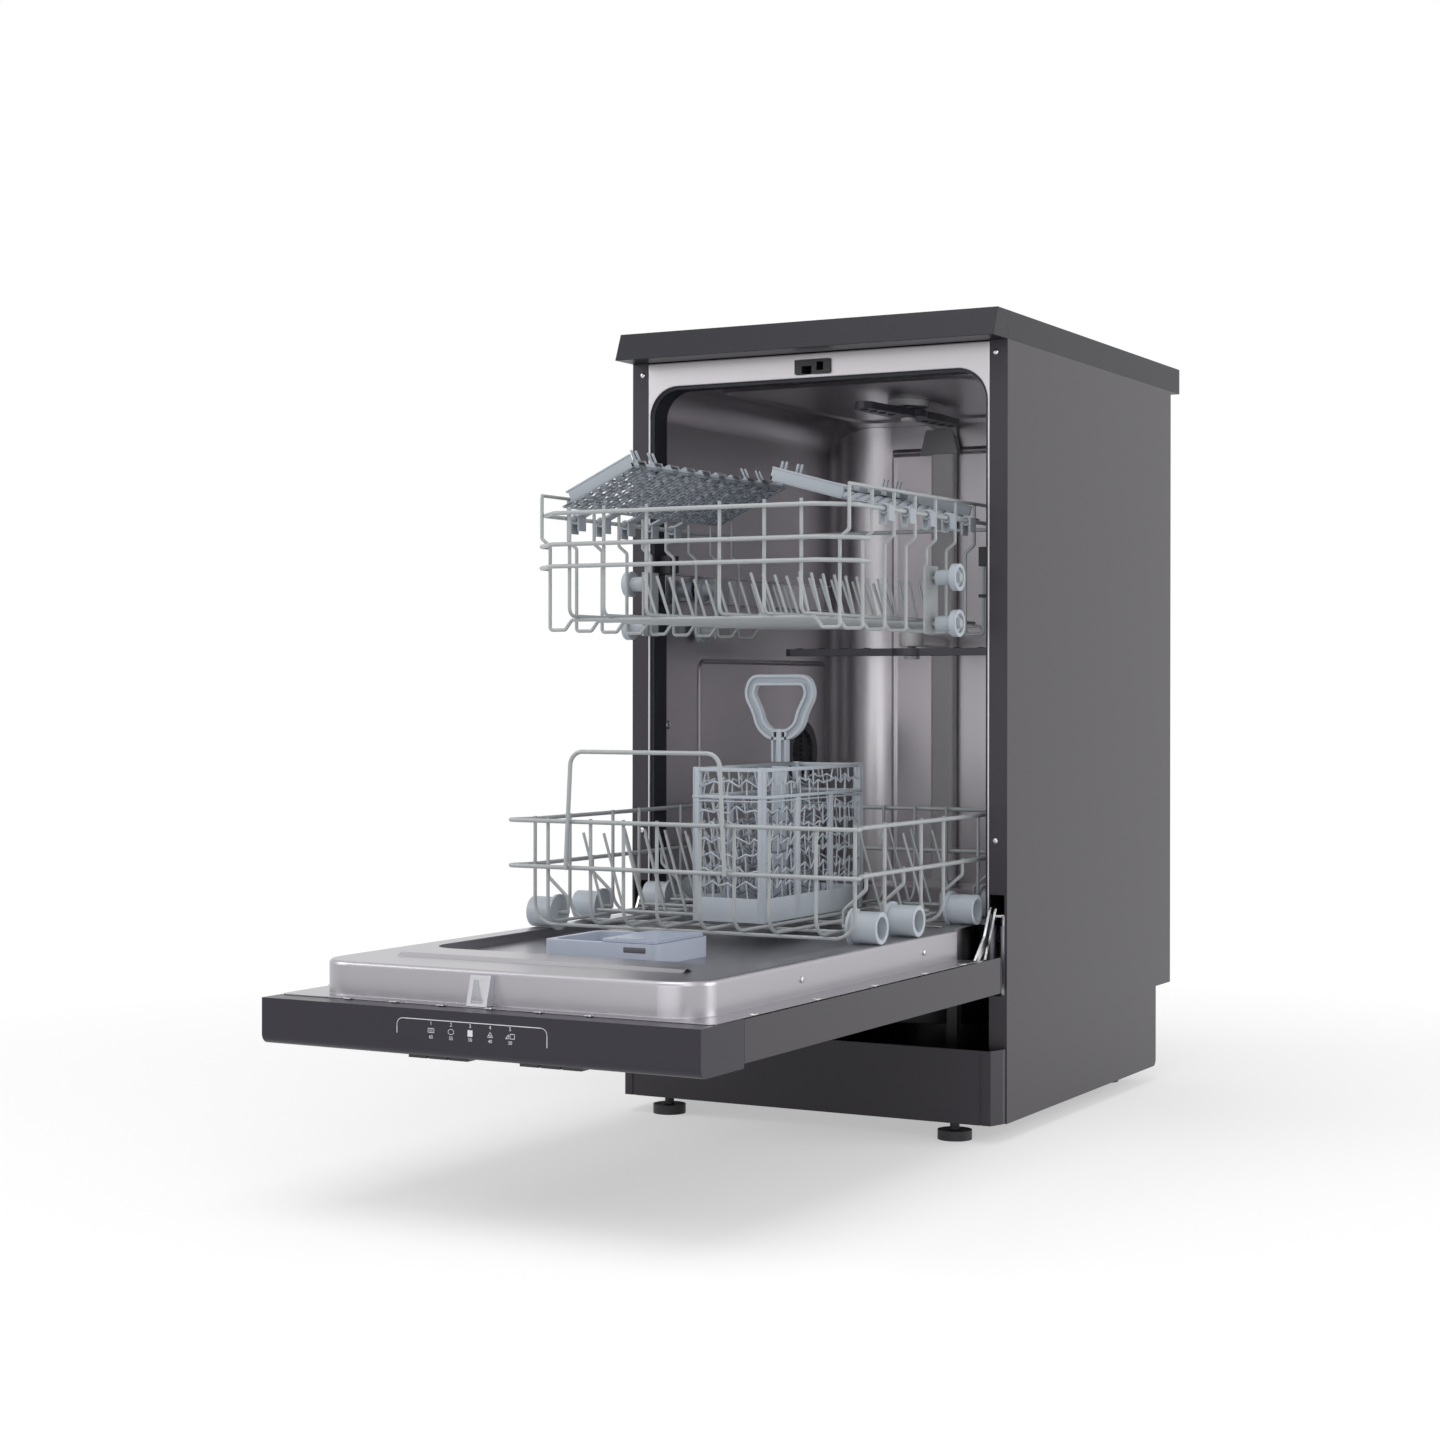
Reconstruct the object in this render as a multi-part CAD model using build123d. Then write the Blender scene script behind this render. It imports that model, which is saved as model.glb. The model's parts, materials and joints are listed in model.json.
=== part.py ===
from build123d import *
from math import cos, sin
import os

# Freestanding dishwasher, 45 cm wide, door open and both racks pulled out.
# Millimetres. X to the right, Y to the back, Z up. Y = 0 is the front plane of the cabinet while
# modelling. Every piece is moved back by Y_SHIFT at the end, so that the middle of the plan is the origin.

# Cabinet
WIDTH = 450.0
HALF = WIDTH / 2
PANEL_T = 1.0
INNER_HALF = HALF - PANEL_T
PANEL_DEPTH = 527.0
PANEL_FOOT_Z = 18.0
PANEL_NOTCH_Z = 113.0
PANEL_NOTCH_Y = PANEL_DEPTH - 53
PANEL_NOTCH_R = 8.0
BODY_TOP = 832.0
PILLAR_W = 20.0
PILLAR_X = HALF - PILLAR_W
REAR_FLANGE_W = 10.0
WORKTOP_T = 30.0
WORKTOP_TOP = BODY_TOP + WORKTOP_T
WORKTOP_DEPTH = 560.0
WORKTOP_NOSE = 39.0
WORKTOP_NOSE_SLOPE = 12.0
SEAM = 0.3
REAR_SHEET_Y = PANEL_DEPTH - PANEL_T - SEAM

# Tub
TUB_HALF = HALF - 22
TUB_T = 1.2
TUB_OUT = TUB_HALF + TUB_T
TUB_TOP = BODY_TOP - 27
TUB_REAR = PANEL_DEPTH - 12
TUB_TOP_R = 35.0
TUB_REAR_R = 60.0
LEDGE_Z = 224.0
TROUGH_HALF = TUB_HALF - 31
TROUGH_Z = LEDGE_Z - 4.5
TROUGH_REAR = TUB_REAR - 0.3
TROUGH_R = 40.0
WELL_HALF = TROUGH_HALF - 8
WELL_Z = LEDGE_Z - 52
WELL_FRONT = 43.0
WELL_REAR = TUB_REAR - 37
WELL_R = 30.0
COLLAR_TOP = BODY_TOP - 1
COLLAR_BELOW_LEDGE = 26.0
MOUTH_CUT = 20.0
GASKET_T = 2.4
GASKET_FRONT = 4.0
GASKET_DEPTH = 30.0
GASKET_LIP = 3.6
GASKET_LIP_DEPTH = 8.0
GASKET_CLEAR = 0.1
LOCK_W = 41.0
LOCK_Z = BODY_TOP - 23
LOCK_H = 15.0
LOCK_DEPTH = 30.0

# Base
TRAY_T = 6.0
TRAY_TOP = PANEL_FOOT_Z + TRAY_T
TRAY_FRONT = -22.0
TRAY_WALL = 3.0
TRAY_WALL_TOP = 90.0
TRAY_BACK = PANEL_NOTCH_Y - SEAM
POST_X = WELL_HALF - 34
POST_HALF = 6.0
SPRING_BAY_BACK = 80.0
DOOR_HALF = HALF - 1
KICK_FRONT = -27.0
KICK_T = 2.0
KICK_TOP = 96.0
KICK_CORNER = 6.0
KICK_SIDE_Y = -8.0
KICK_GROOVE_X = DOOR_HALF - 17
FOOT_R = 18.0
FOOT_H = 10.0
FOOT_STEM_R = 5.0
FOOT_BOSS_H = 20.0
FOOT_X = HALF - 54
FOOT_FRONT_Y = -10.0
FOOT_REAR_Y = PANEL_NOTCH_Y - 34

# Hinge and door, open and level
HINGE_Y = -9.5
HINGE_Z = 181.5
PIN_R = 4.0
PIN_PLAY = 0.08
BRACKET_X0 = TUB_OUT + 1.1
HINGE_PLATE_T = 2.5
BRACKET_X1 = BRACKET_X0 + HINGE_PLATE_T
ARM_X0 = BRACKET_X1 + 0.5
ARM_X1 = ARM_X0 + HINGE_PLATE_T
TRAY_PLATE_Y = 40.0
SPRING_X = ARM_X1 + 6.7
SPRING_Y = 12.0
SPRING_R = 4.8
SPRING_WIRE = 1.4
SPRING_FOOT = 60.0
SPRING_HEAD = 222.0
SPRING_CORE_R = 3.2
DOOR_FRONT = -655.0
DOOR_BACK = -15.0
DOOR_SKIN_Z = 155.0
DOOR_SKIN_T = 0.8
DOOR_RIM_Z = 192.0
SKIRT_HALF = DOOR_HALF - 21.5
SKIRT_BACK = 72.0
SKIRT_LIP = 10.0
FASCIA_BACK = DOOR_FRONT + 75
FASCIA_Z = DOOR_SKIN_Z - 4
FASCIA_TOP = DOOR_RIM_Z + 0.3
FASCIA_T = 2.5
FASCIA_R = 9.0
LINER_T = 0.8
LINER_FLANGE_Z = DOOR_RIM_Z + 0.5
LINER_FLANGE_HALF = DOOR_HALF - 2
LINER_FLANGE_FRONT = 14.0
LINER_HALF = LINER_FLANGE_HALF - 24.4
LINER_FRONT = DOOR_FRONT + 39.4
LINER_TOP = 224.0
LINER_TOP_R = 4.0
LINER_FRONT_R = 37.0
LINER_WALL_BACK = -67.0
LINER_BACK = -14.0
LINER_TAIL_HALF = LINER_HALF - 4.6
RECESS_HALF = LINER_HALF - 25.6
RECESS_FRONT = DOOR_FRONT + 180
RECESS_Z = LINER_TOP - 9
RECESS_BEND_Y = -250.0
RECESS_TAIL_Z = LINER_TOP - 4.5
RECESS_R = 30.0

# Dispenser and controls
DISP_HALF = 61.0
DISP_FRONT = RECESS_FRONT + 31
DISP_BACK = DISP_FRONT + 101
DISP_TOP = RECESS_Z + 19.2
DISP_NECK = 3.5
DISP_DEPTH = 22.0
CHAMBER_X0 = -55.0
CHAMBER_X1 = -3.0
CHAMBER_WALL = 6.0
CHAMBER_DEPTH = 16.0
LID_T = 2.8
LID_GAP = 0.3
LATCH_X = 26.0
LATCH_Y = DISP_FRONT + 14
LATCH_HALF = 14.0
LATCH_HALF_Y = 6.0
LATCH_CLEAR = 0.4
LATCH_GROOVE = 1.8
BUTTON_COUNT = 6
BUTTON_W = 19.0
BUTTON_DEPTH = 12.0
BUTTON_PITCH = 21.2
BUTTON_GROUP_X = (-61.0, 53.5)
BUTTON_Y = DOOR_FRONT + 15
BUTTON_PROUD = 2.5
BUTTON_CLEAR = 0.3
BOARD_Z = FASCIA_Z + 10
BOARD_X0 = -160.0
BOARD_X1 = 80.0
BOARD_T = 1.6
BOARD_FRONT = DOOR_FRONT + 27
BOARD_DEPTH = 38.0
BOARD_BOSS_X = 150.0

# Rails, feed pipe and spray arms
RAIL_Z = 583.0
RAIL_INSIDE = 29.0
RAIL_T = 1.2
RAIL_INNER_X = TUB_HALF - 13
RAIL_OUTER_X = TUB_HALF - 2.8
RAIL_FRONT = 28.0
RAIL_BACK = TUB_REAR - 47
RAIL_LOW = RAIL_Z - RAIL_INSIDE / 2
RAIL_HIGH = RAIL_Z + RAIL_INSIDE / 2
CAP_FRONT = 16.0
CAP_BACK = 24.0
CAP_OVERLAP = 8.0
CAP_INNER_X = RAIL_INNER_X - 4
CAP_BELOW = 18.0
CAP_ABOVE = 35.0
RISER_X = -66.0
RISER_W = 32.0
RISER_FRONT = TUB_REAR - 15
RISER_BACK = TUB_REAR - 0.5
RISER_TOP = TUB_TOP - 8
PIPE_R = 11.0
RISER_PIPE_Y = WELL_REAR + TUB_T + PIPE_R + 7
ARM_Y = 261.0
BRANCH_Z = 527.0
BRANCH_R = 8.0
HUB_R = 14.0
ARM_PIN_R = 5.0
ARM_GAP = 0.4
LOWER_ARM_Z = WELL_Z + 13
LOWER_ARM_T = 11.0
LOWER_ARM_REACH = 155.0
MIDDLE_ARM_Z = BRANCH_Z - 19
MIDDLE_ARM_T = 8.5
MIDDLE_ARM_REACH = 165.0
CEILING_ARM_Y = 250.0
CEILING_ARM_Z = TUB_TOP - 20
CEILING_ARM_T = 8.0
CEILING_ARM_REACH = 120.0
CEILING_DUCT_Z = TUB_TOP - 7.7
CEILING_DUCT_HALF = 14.0
CEILING_DUCT_R = 24.0

# Sump and the works under the tub
SUMP_X = 30.0
SUMP_Y = 235.0
SUMP_FLANGE_R = 99.7
SUMP_FLANGE_Z = WELL_Z + 1
SUMP_BOWL_R = 92.0
SUMP_BOWL_Z = WELL_Z - 77
FILTER_X = SUMP_X + 45
FILTER_Y = SUMP_Y - 20
FILTER_R = 38.0
FILTER_CLEAR = 0.4
FILTER_DEPTH = 100.0
FILTER_HOUSING_R = FILTER_R + 17
ARM_POST_R = 11.0
PUMP_R = 42.0
PUMP_Z = 110.0
PUMP_Y = 372.0
PUMP_INLET_X = -20.0
PUMP_INLET_R = 16.0
VOLUTE_HALF = 17.0
MOTOR_END_X = 110.0
OUTLET_Z = PUMP_Z + 22
DRAIN_X = 150.0
DRAIN_Z = 62.0
DRAIN_R = 28.0
DRAIN_PIPE_R = 9.0
SPIGOT_R = 10.0
SPIGOT_BORE_R = 7.5
SALT_X = -105.0
SALT_Y = 150.0
SALT_R = 33.0
SALT_NECK_R = 29.0
TANK_Z0 = 70.0
TANK_Z1 = 167.0
VALVE_X = -(HALF - 25)
VALVE_Z = 80.0
THREAD_R = 13.2
THREAD_NECK_R = 12.0
SPIGOT_LENGTH = 25.0
SPIGOT_FRONT = TRAY_BACK + 1.3
SPIGOT_BACK = SPIGOT_FRONT + SPIGOT_LENGTH
WEIGHT_H = 66.0
WEIGHT_X0 = -60.0
VENT_Y = 375.0
VENT_Z = 390.0
VENT_R = 33.0

# Upper rack, pulled out
RIM_R = 2.2
WIRE_R = 1.8
TINE_R = 1.5
WIRE_GAP = 0.03
UP_RIM_Z = RAIL_Z + 62
UP_HALF = TUB_HALF - 26
UP_FRONT = -291.0
UP_BACK = 150.0
UP_BACK_RUN = 30.0
UP_CORNER = 31.0
UP_HOOP_Z = (UP_RIM_Z - 31.5, UP_RIM_Z - 53.5)
UP_HOOP_HALF = UP_HALF + 4
UP_HOOP_BACK = -244.0
UP_RAISED_Z = UP_RIM_Z + 18
UP_JOG_Z = UP_RIM_Z - 24
UP_JOG_DROP = 8.0
UP_SIDE_X = UP_HALF - 14
UP_FLOOR_Z = UP_RIM_Z - 107
UP_LOOP_Z = UP_FLOOR_Z - 10
UP_LOOP_X = UP_SIDE_X - 31
UP_BEND = 3.4
UP_CROSS_FRONT = UP_FRONT + 20
UP_CROSS_PITCH = 51.0
UP_CROSS_COUNT = 9
UP_LONG_X = (UP_LOOP_X - 2, 90.0, 41.0)
UP_TINE_H = 42.0
UP_TINE_PITCH = 26.0
UP_TINE_COUNT = 13
ROLLER_R = 14.0
ROLLER_HUB_R = 8.0
ROLLER_INNER_X = RAIL_INNER_X
ROLLER_OUTER_X = ROLLER_INNER_X + 7
ROLLER_HUB_X = UP_SIDE_X + 9
ROLLER_PIN_R = 2.5
ROLLER_PLATE_X = UP_SIDE_X + 4.2
ROLLER_LOW_Z = RAIL_Z - 47
ROLLER_FRONT_Y = -59.0
ROLLER_REAR_Y = 105.0

# Cup shelves
SHELF_FRONT = UP_FRONT + 39
SHELF_BACK = UP_CROSS_FRONT + 7 * UP_CROSS_PITCH - 2.5
SHELF_T = 2.4
SHELF_LIP = 14.0
SHELF_WALL = 2.0
SHELF_W = 112.0
SHELF_ROOT = 8.0
SHELF_NOTCH = 19.0
SHELF_HOLE_PITCH = 24.0
SHELF_TOOTH_PITCH = 34.0
SHELF_CLIPS = 5
SHELF_CLIP_HALF = 8.0
SHELF_CLIP_WALL = 3.2
SHELF_CLIP_PLAY = 0.15
SHELF_LEFT_TILT = 25.0
SHELF_RIGHT_TILT = 15.0
SHELF_RIGHT_SHORT = 17.0

# Lower rack, pulled out
LOW_RIM_Z = LEDGE_Z + 112
LOW_HOOP_Z = LOW_RIM_Z - 46
LOW_HALF = TUB_HALF - 19
LOW_FRONT = -286.0
LOW_BACK = 135.0
LOW_NOSE = 13.0
LOW_EAR = LOW_HALF + 12
LOW_CROSS_Z = LEDGE_Z + 6
LOW_LONG_Z = LOW_CROSS_Z + 4
LOW_BEND_R = 22.0
LOW_LONG_BEND_R = 18.0
LOW_RUN_START = 4.0
LOW_CROSS_Y = (-272.0, -205.0, -118.0, -62.0, 30.0, 118.0)
LOW_LONG_X = (LOW_HALF - 34, 100.0, 62.0, 24.0)
LOW_TINE_H = 80.0
LOW_TINE_LEAN = 24.0
LOW_TINE_PITCH = 25.0
LOW_TINE_Y = (-180.0, -95.0, -25.0, 50.0)
BAIL_X = (-124.0, 56.0)
BAIL_Z = LOW_RIM_Z + 70
WHEEL_Y = (-247.0, -160.0, -12.0, 75.0)
WHEEL_R = 15.5
AXLE_Z = LEDGE_Z + WHEEL_R + 0.3
WHEEL_INNER_X = TROUGH_HALF - 3
WHEEL_OUTER_X = TUB_HALF - 6.2
WHEEL_FLANGE_R = 18.5
WHEEL_FLANGE_T = 3.0
WHEEL_BORE_R = 11.0
WHEEL_CUP_DEPTH = 12.0
AXLE_R = 2.5
AXLE_CLEAR = 0.1
AXLE_ROOT = WHEEL_INNER_X - 13
AXLE_HEAD_X0 = WHEEL_OUTER_X - 11.2
AXLE_HEAD_X1 = WHEEL_OUTER_X - 9.4
CLIP_BUSH_R = 5.0

# Cutlery basket
BASKET_X0 = -19.0
BASKET_X1 = 60.0
BASKET_Y0 = -230.0
BASKET_Y1 = -2.0
BASKET_Z0 = LOW_CROSS_Z + 6.4
BASKET_Z1 = BASKET_Z0 + 153.6
BASKET_T = 2.0
BASKET_BAND_Z = BASKET_Z1 - 29
BASKET_SOLID_H = 24.0
BASKET_CELL = 24.0
BASKET_STEM_H = 38.0
BASKET_HANDLE_TOP = BASKET_Z1 + 93.5
BASKET_HANDLE_HALF = 41.0
BASKET_HANDLE_W = 11.0
BASKET_HANDLE_T = 8.0
BASKET_STEM_HALF = 8.0

Y_SHIFT = (-DOOR_FRONT - WORKTOP_DEPTH) / 2


# Shapes that many pieces use

def block(x0, x1, y0, y1, z0, z1):
    return Pos((x0 + x1) / 2, (y0 + y1) / 2, (z0 + z1) / 2) * Box(x1 - x0, y1 - y0, z1 - z0)


def disc_x(r, x0, x1, y, z):
    return Pos((x0 + x1) / 2, y, z) * Rot(0, 90, 0) * Cylinder(r, abs(x1 - x0))


def disc_y(r, x, y0, y1, z):
    return Pos(x, (y0 + y1) / 2, z) * Rot(90, 0, 0) * Cylinder(r, abs(y1 - y0))


def disc_z(r, x, y, z0, z1):
    return Pos(x, y, (z0 + z1) / 2) * Cylinder(r, z1 - z0)


def slab(x0, x1, y0, y1, z0, z1, r):
    """A block whose four upright edges are rounded by r."""
    plate = Pos((x0 + x1) / 2, (y0 + y1) / 2, z0) * RectangleRounded(x1 - x0, y1 - y0, r)
    return extrude(plate, z1 - z0)


def prism_x(points, x0, x1):
    """A closed outline of (y, z) points pushed from x0 to x1."""
    outline = Plane.YZ.offset(x0) * make_face(Polyline(*points, close=True))
    return extrude(outline, x1 - x0)


def prism_z(points, z0, z1):
    """A closed outline of (x, y) points pushed from z0 to z1."""
    outline = Pos(0, 0, z0) * make_face(Polyline(*points, close=True))
    return extrude(outline, z1 - z0)


def rod(points, r, bend=0.0):
    """A round wire along straight runs, with the same bend radius at every corner."""
    line = Polyline(*points) if bend == 0 or len(points) == 2 else FilletPolyline(*points, radius=bend)
    start = Plane(origin=line @ 0, z_dir=line % 0)
    return sweep(start * Circle(r), path=line)


def mirrored(piece):
    return mirror(piece, about=Plane.YZ)


def solids_of(pieces):
    found = []
    for piece in pieces:
        found += list(piece.solids())
    return found


def write(name, *pieces):
    placed = [Pos(0, Y_SHIFT, 0) * solid for solid in solids_of(pieces)]
    export_step(Compound(children=placed), "parts/" + name + ".step")


# Cabinet

def worktop():
    board = block(-HALF, HALF, SEAM, WORKTOP_DEPTH, BODY_TOP, WORKTOP_TOP)
    nose_top = -(WORKTOP_NOSE - WORKTOP_NOSE_SLOPE)
    nose = prism_x([(0, BODY_TOP), (-WORKTOP_NOSE, BODY_TOP), (nose_top, WORKTOP_TOP), (0, WORKTOP_TOP)],
                   -HALF, HALF)
    write("worktop", board, nose)


def side_panel(side):
    outline = [(0, PANEL_FOOT_Z), (PANEL_NOTCH_Y, PANEL_FOOT_Z), (PANEL_NOTCH_Y, PANEL_NOTCH_Z),
               (PANEL_DEPTH, PANEL_NOTCH_Z), (PANEL_DEPTH, BODY_TOP), (0, BODY_TOP)]
    skin = prism_x(outline, INNER_HALF, HALF)
    heel = skin.edges().filter_by(Axis.X).group_by(Axis.Z)[0].sort_by(Axis.Y)[-1]
    skin = fillet(heel, PANEL_NOTCH_R)
    pillar = block(PILLAR_X, INNER_HALF, 0, PANEL_T, PANEL_FOOT_Z, BODY_TOP)
    hinge_slot_low = DOOR_SKIN_Z - 5
    hinge_slot_high = LEDGE_Z + 31
    pillar -= block(PILLAR_X - 1, HALF - 3, -1, PANEL_T + 1, hinge_slot_low, hinge_slot_high)
    top_flange = block(PILLAR_X, INNER_HALF, PANEL_T, PANEL_DEPTH, BODY_TOP - PANEL_T, BODY_TOP)
    rear_flange = block(INNER_HALF - REAR_FLANGE_W, INNER_HALF, PANEL_DEPTH - PANEL_T, PANEL_DEPTH,
                        PANEL_NOTCH_Z, BODY_TOP - PANEL_T)
    panel = skin + pillar + top_flange + rear_flange
    if side < 0:
        panel = mirrored(panel)
    write("side_panel_left" if side < 0 else "side_panel_right", panel)


def rear_panel():
    sheet = block(-INNER_HALF + SEAM, INNER_HALF - SEAM, REAR_SHEET_Y - PANEL_T, REAR_SHEET_Y,
                  PANEL_NOTCH_Z, BODY_TOP - PANEL_T - SEAM)
    write("rear_panel", sheet)


def tub_inside(grow):
    """The room inside the tub above the ledges, grown by a wall thickness."""
    half = TUB_HALF + grow
    high = TUB_TOP + grow
    front_view = Plane.XZ * Pos(0, high / 2) * RectangleRounded(2 * half, high, TUB_TOP_R + grow)
    tall = extrude(front_view, -(TUB_REAR + grow))
    ahead = 2 * TUB_REAR_R
    plan = Pos(0, (TUB_REAR + grow - ahead) / 2, 0) * RectangleRounded(2 * half, TUB_REAR + grow + ahead,
                                                                      TUB_REAR_R + grow)
    return tall & extrude(plan, high)


def tub_shell():
    shell = tub_inside(TUB_T) - tub_inside(0)
    shell -= disc_x(VENT_R + 1, -HALF, 0, VENT_Y, VENT_Z)
    rear_line = TUB_REAR - TUB_REAR_R
    wrapper = shell & block(-HALF, HALF, TUB_T, rear_line, LEDGE_Z, TUB_TOP + TUB_T)
    rear_wall = shell & block(-HALF, HALF, rear_line, TUB_REAR + TUB_T, LEDGE_Z, TUB_TOP + TUB_T)
    collar_half = PILLAR_X - SEAM
    collar = block(-collar_half, collar_half, 0, TUB_T, LEDGE_Z - COLLAR_BELOW_LEDGE, COLLAR_TOP)
    mouth = Plane.XZ * Pos(0, TUB_TOP / 2) * RectangleRounded(2 * TUB_HALF, TUB_TOP, TUB_TOP_R)
    collar -= extrude(mouth, MOUTH_CUT, both=True)
    lock_half = LOCK_W / 2 + SEAM
    collar -= block(-lock_half, lock_half, -MOUTH_CUT, MOUTH_CUT, LOCK_Z - SEAM, LOCK_Z + LOCK_H + SEAM)
    write("tub_shell", wrapper, rear_wall, collar)


def floor_room(grow):
    """The hollow of the tub floor: a trough open to the front and a deep well, grown by a wall thickness."""
    trough = slab(-TROUGH_HALF - grow, TROUGH_HALF + grow, -2 * TROUGH_R, TROUGH_REAR + grow,
                  TROUGH_Z - grow, LEDGE_Z + 1, TROUGH_R + grow)
    well = slab(-WELL_HALF - grow, WELL_HALF + grow, WELL_FRONT - grow, WELL_REAR + grow,
                WELL_Z - grow, TROUGH_Z + 1, WELL_R + grow)
    return trough + well


def tub_floor():
    ledge = tub_inside(TUB_T) & block(-HALF, HALF, TUB_T, TUB_REAR + TUB_T, LEDGE_Z - TUB_T, LEDGE_Z)
    pan = floor_room(TUB_T) & block(-HALF, HALF, TUB_T, TUB_REAR + TUB_T, 0, LEDGE_Z)
    floor = (ledge + pan) - floor_room(0)
    floor -= disc_z(SUMP_FLANGE_R + SEAM, SUMP_X, SUMP_Y, WELL_Z - 5, WELL_Z + 5)
    floor -= disc_z(SALT_NECK_R + SEAM, SALT_X, SALT_Y, WELL_Z - 5, WELL_Z + 5)
    floor -= disc_z(PIPE_R + SEAM, RISER_X, RISER_PIPE_Y, TROUGH_Z - 5, TROUGH_Z + 5)
    write("tub_floor", floor)


def door_gasket():
    def ring(inset, y0, y1):
        half = TUB_HALF - inset
        top = TUB_TOP - inset
        face = Plane.XZ.offset(-y0) * Pos(0, top / 2) * RectangleRounded(2 * half, top, TUB_TOP_R - inset)
        return extrude(face, -(y1 - y0))
    back = GASKET_FRONT + GASKET_DEPTH
    outer = GASKET_CLEAR
    strip = ring(outer, GASKET_FRONT, back) - ring(outer + GASKET_T, GASKET_FRONT - 1, back + 1)
    lip_back = GASKET_FRONT + GASKET_LIP_DEPTH
    lip = ring(outer, GASKET_FRONT, lip_back) - ring(GASKET_LIP, GASKET_FRONT - 1, lip_back + 1)
    keep = block(-HALF, HALF, 0, back, LEDGE_Z + SEAM, TUB_TOP)
    write("door_gasket", (strip + lip) & keep)


# Base and the works under the tub

def base_tray():
    half = INNER_HALF - SEAM
    above = TRAY_WALL_TOP + 1
    tray = block(-half, half, TRAY_FRONT, TRAY_BACK, PANEL_FOOT_Z, TRAY_WALL_TOP)
    tray -= block(-half + TRAY_WALL, half - TRAY_WALL, TRAY_FRONT - 1, TRAY_BACK - TRAY_WALL, TRAY_TOP, above)
    for side in (-1, 1):
        x0, x1 = sorted((side * (half - PILLAR_W), side * HALF))
        tray -= block(x0, x1, TRAY_FRONT - 1, PANEL_T + SEAM, 0, above)
        tray -= block(x0, x1, TRAY_FRONT - 1, SPRING_BAY_BACK, SPRING_FOOT - 10, above)
    for x in (-FOOT_X, FOOT_X):
        for y in (FOOT_FRONT_Y, FOOT_REAR_Y):
            tray += disc_z(FOOT_STEM_R + 6, x, y, TRAY_TOP, TRAY_TOP + FOOT_BOSS_H)
            tray -= disc_z(FOOT_STEM_R + SEAM, x, y, 0, TRAY_TOP + FOOT_BOSS_H + 1)
    for x in (-POST_X, POST_X):
        for y in (WELL_FRONT + 40, WELL_REAR - 30):
            tray += block(x - POST_HALF, x + POST_HALF, y - POST_HALF, y + POST_HALF, TRAY_TOP,
                          WELL_Z - TUB_T)
    wall_front = TRAY_BACK - TRAY_WALL - 1
    tray -= disc_y(THREAD_NECK_R + SEAM, VALVE_X, wall_front, TRAY_BACK + 1, VALVE_Z)
    tray -= disc_y(DRAIN_PIPE_R + SEAM, DRAIN_X, wall_front, TRAY_BACK + 1, DRAIN_Z)
    write("base_tray", tray)


def kick_plate():
    def bow(inset, back, z0, z1):
        side = DOOR_HALF - inset
        front = KICK_FRONT + inset
        shoulder = KICK_SIDE_Y + inset / 2
        outline = [(-side, back), (-side, shoulder), (-side + KICK_CORNER, front),
                   (side - KICK_CORNER, front), (side, shoulder), (side, back)]
        return prism_z(outline, z0, z1)
    plate = bow(0, -0.2, PANEL_FOOT_Z + 1, KICK_TOP)
    plate -= bow(KICK_T, 5, 0, KICK_TOP + 5)
    for x in (-KICK_GROOVE_X, KICK_GROOVE_X):
        plate -= block(x - 1.5, x + 1.5, KICK_FRONT - 1, KICK_FRONT + 0.9, 0, KICK_TOP + 5)
    write("kick_plate", plate)


def sump_housing():
    body = disc_z(SUMP_FLANGE_R, SUMP_X, SUMP_Y, WELL_Z - 4, SUMP_FLANGE_Z)
    body += disc_z(SUMP_BOWL_R, SUMP_X, SUMP_Y, SUMP_BOWL_Z, WELL_Z - 4)
    low_z = SUMP_FLANGE_Z - FILTER_DEPTH - 30
    body += disc_z(FILTER_HOUSING_R, FILTER_X, FILTER_Y, low_z, SUMP_BOWL_Z)
    body += disc_z(ARM_POST_R, 0, ARM_Y, SUMP_FLANGE_Z, LOWER_ARM_Z + LOWER_ARM_T + 1)
    body += disc_z(ARM_POST_R + 5, 0, ARM_Y, SUMP_FLANGE_Z, LOWER_ARM_Z - ARM_GAP)
    body -= disc_z(FILTER_R + FILTER_CLEAR, FILTER_X, FILTER_Y, SUMP_FLANGE_Z - FILTER_DEPTH - FILTER_CLEAR,
                   SUMP_FLANGE_Z + 1)
    pump_face = PUMP_Y - PUMP_R - 3.2
    body += disc_y(PUMP_INLET_R, PUMP_INLET_X, SUMP_Y + 70, pump_face, PUMP_Z)
    write("sump_housing", body)


def circulation_pump():
    volute = disc_x(PUMP_R + 3, PUMP_INLET_X - VOLUTE_HALF, PUMP_INLET_X + VOLUTE_HALF, PUMP_Y, PUMP_Z)
    motor = disc_x(PUMP_R, PUMP_INLET_X + VOLUTE_HALF, MOTOR_END_X, PUMP_Y, PUMP_Z)
    outlet = rod([(PUMP_INLET_X, PUMP_Y + PUMP_R - 4, OUTLET_Z), (RISER_X, RISER_PIPE_Y, OUTLET_Z),
                  (RISER_X, RISER_PIPE_Y, TROUGH_Z - 0.1)], PIPE_R, PIPE_R + 6)
    saddle = block(20, 80, PUMP_Y - 20, PUMP_Y + 20, TRAY_TOP, PUMP_Z - PUMP_R + 8)
    saddle -= disc_x(PUMP_R + 0.05, 0, MOTOR_END_X, PUMP_Y, PUMP_Z)
    write("circulation_pump", volute + motor + outlet, saddle)


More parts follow.
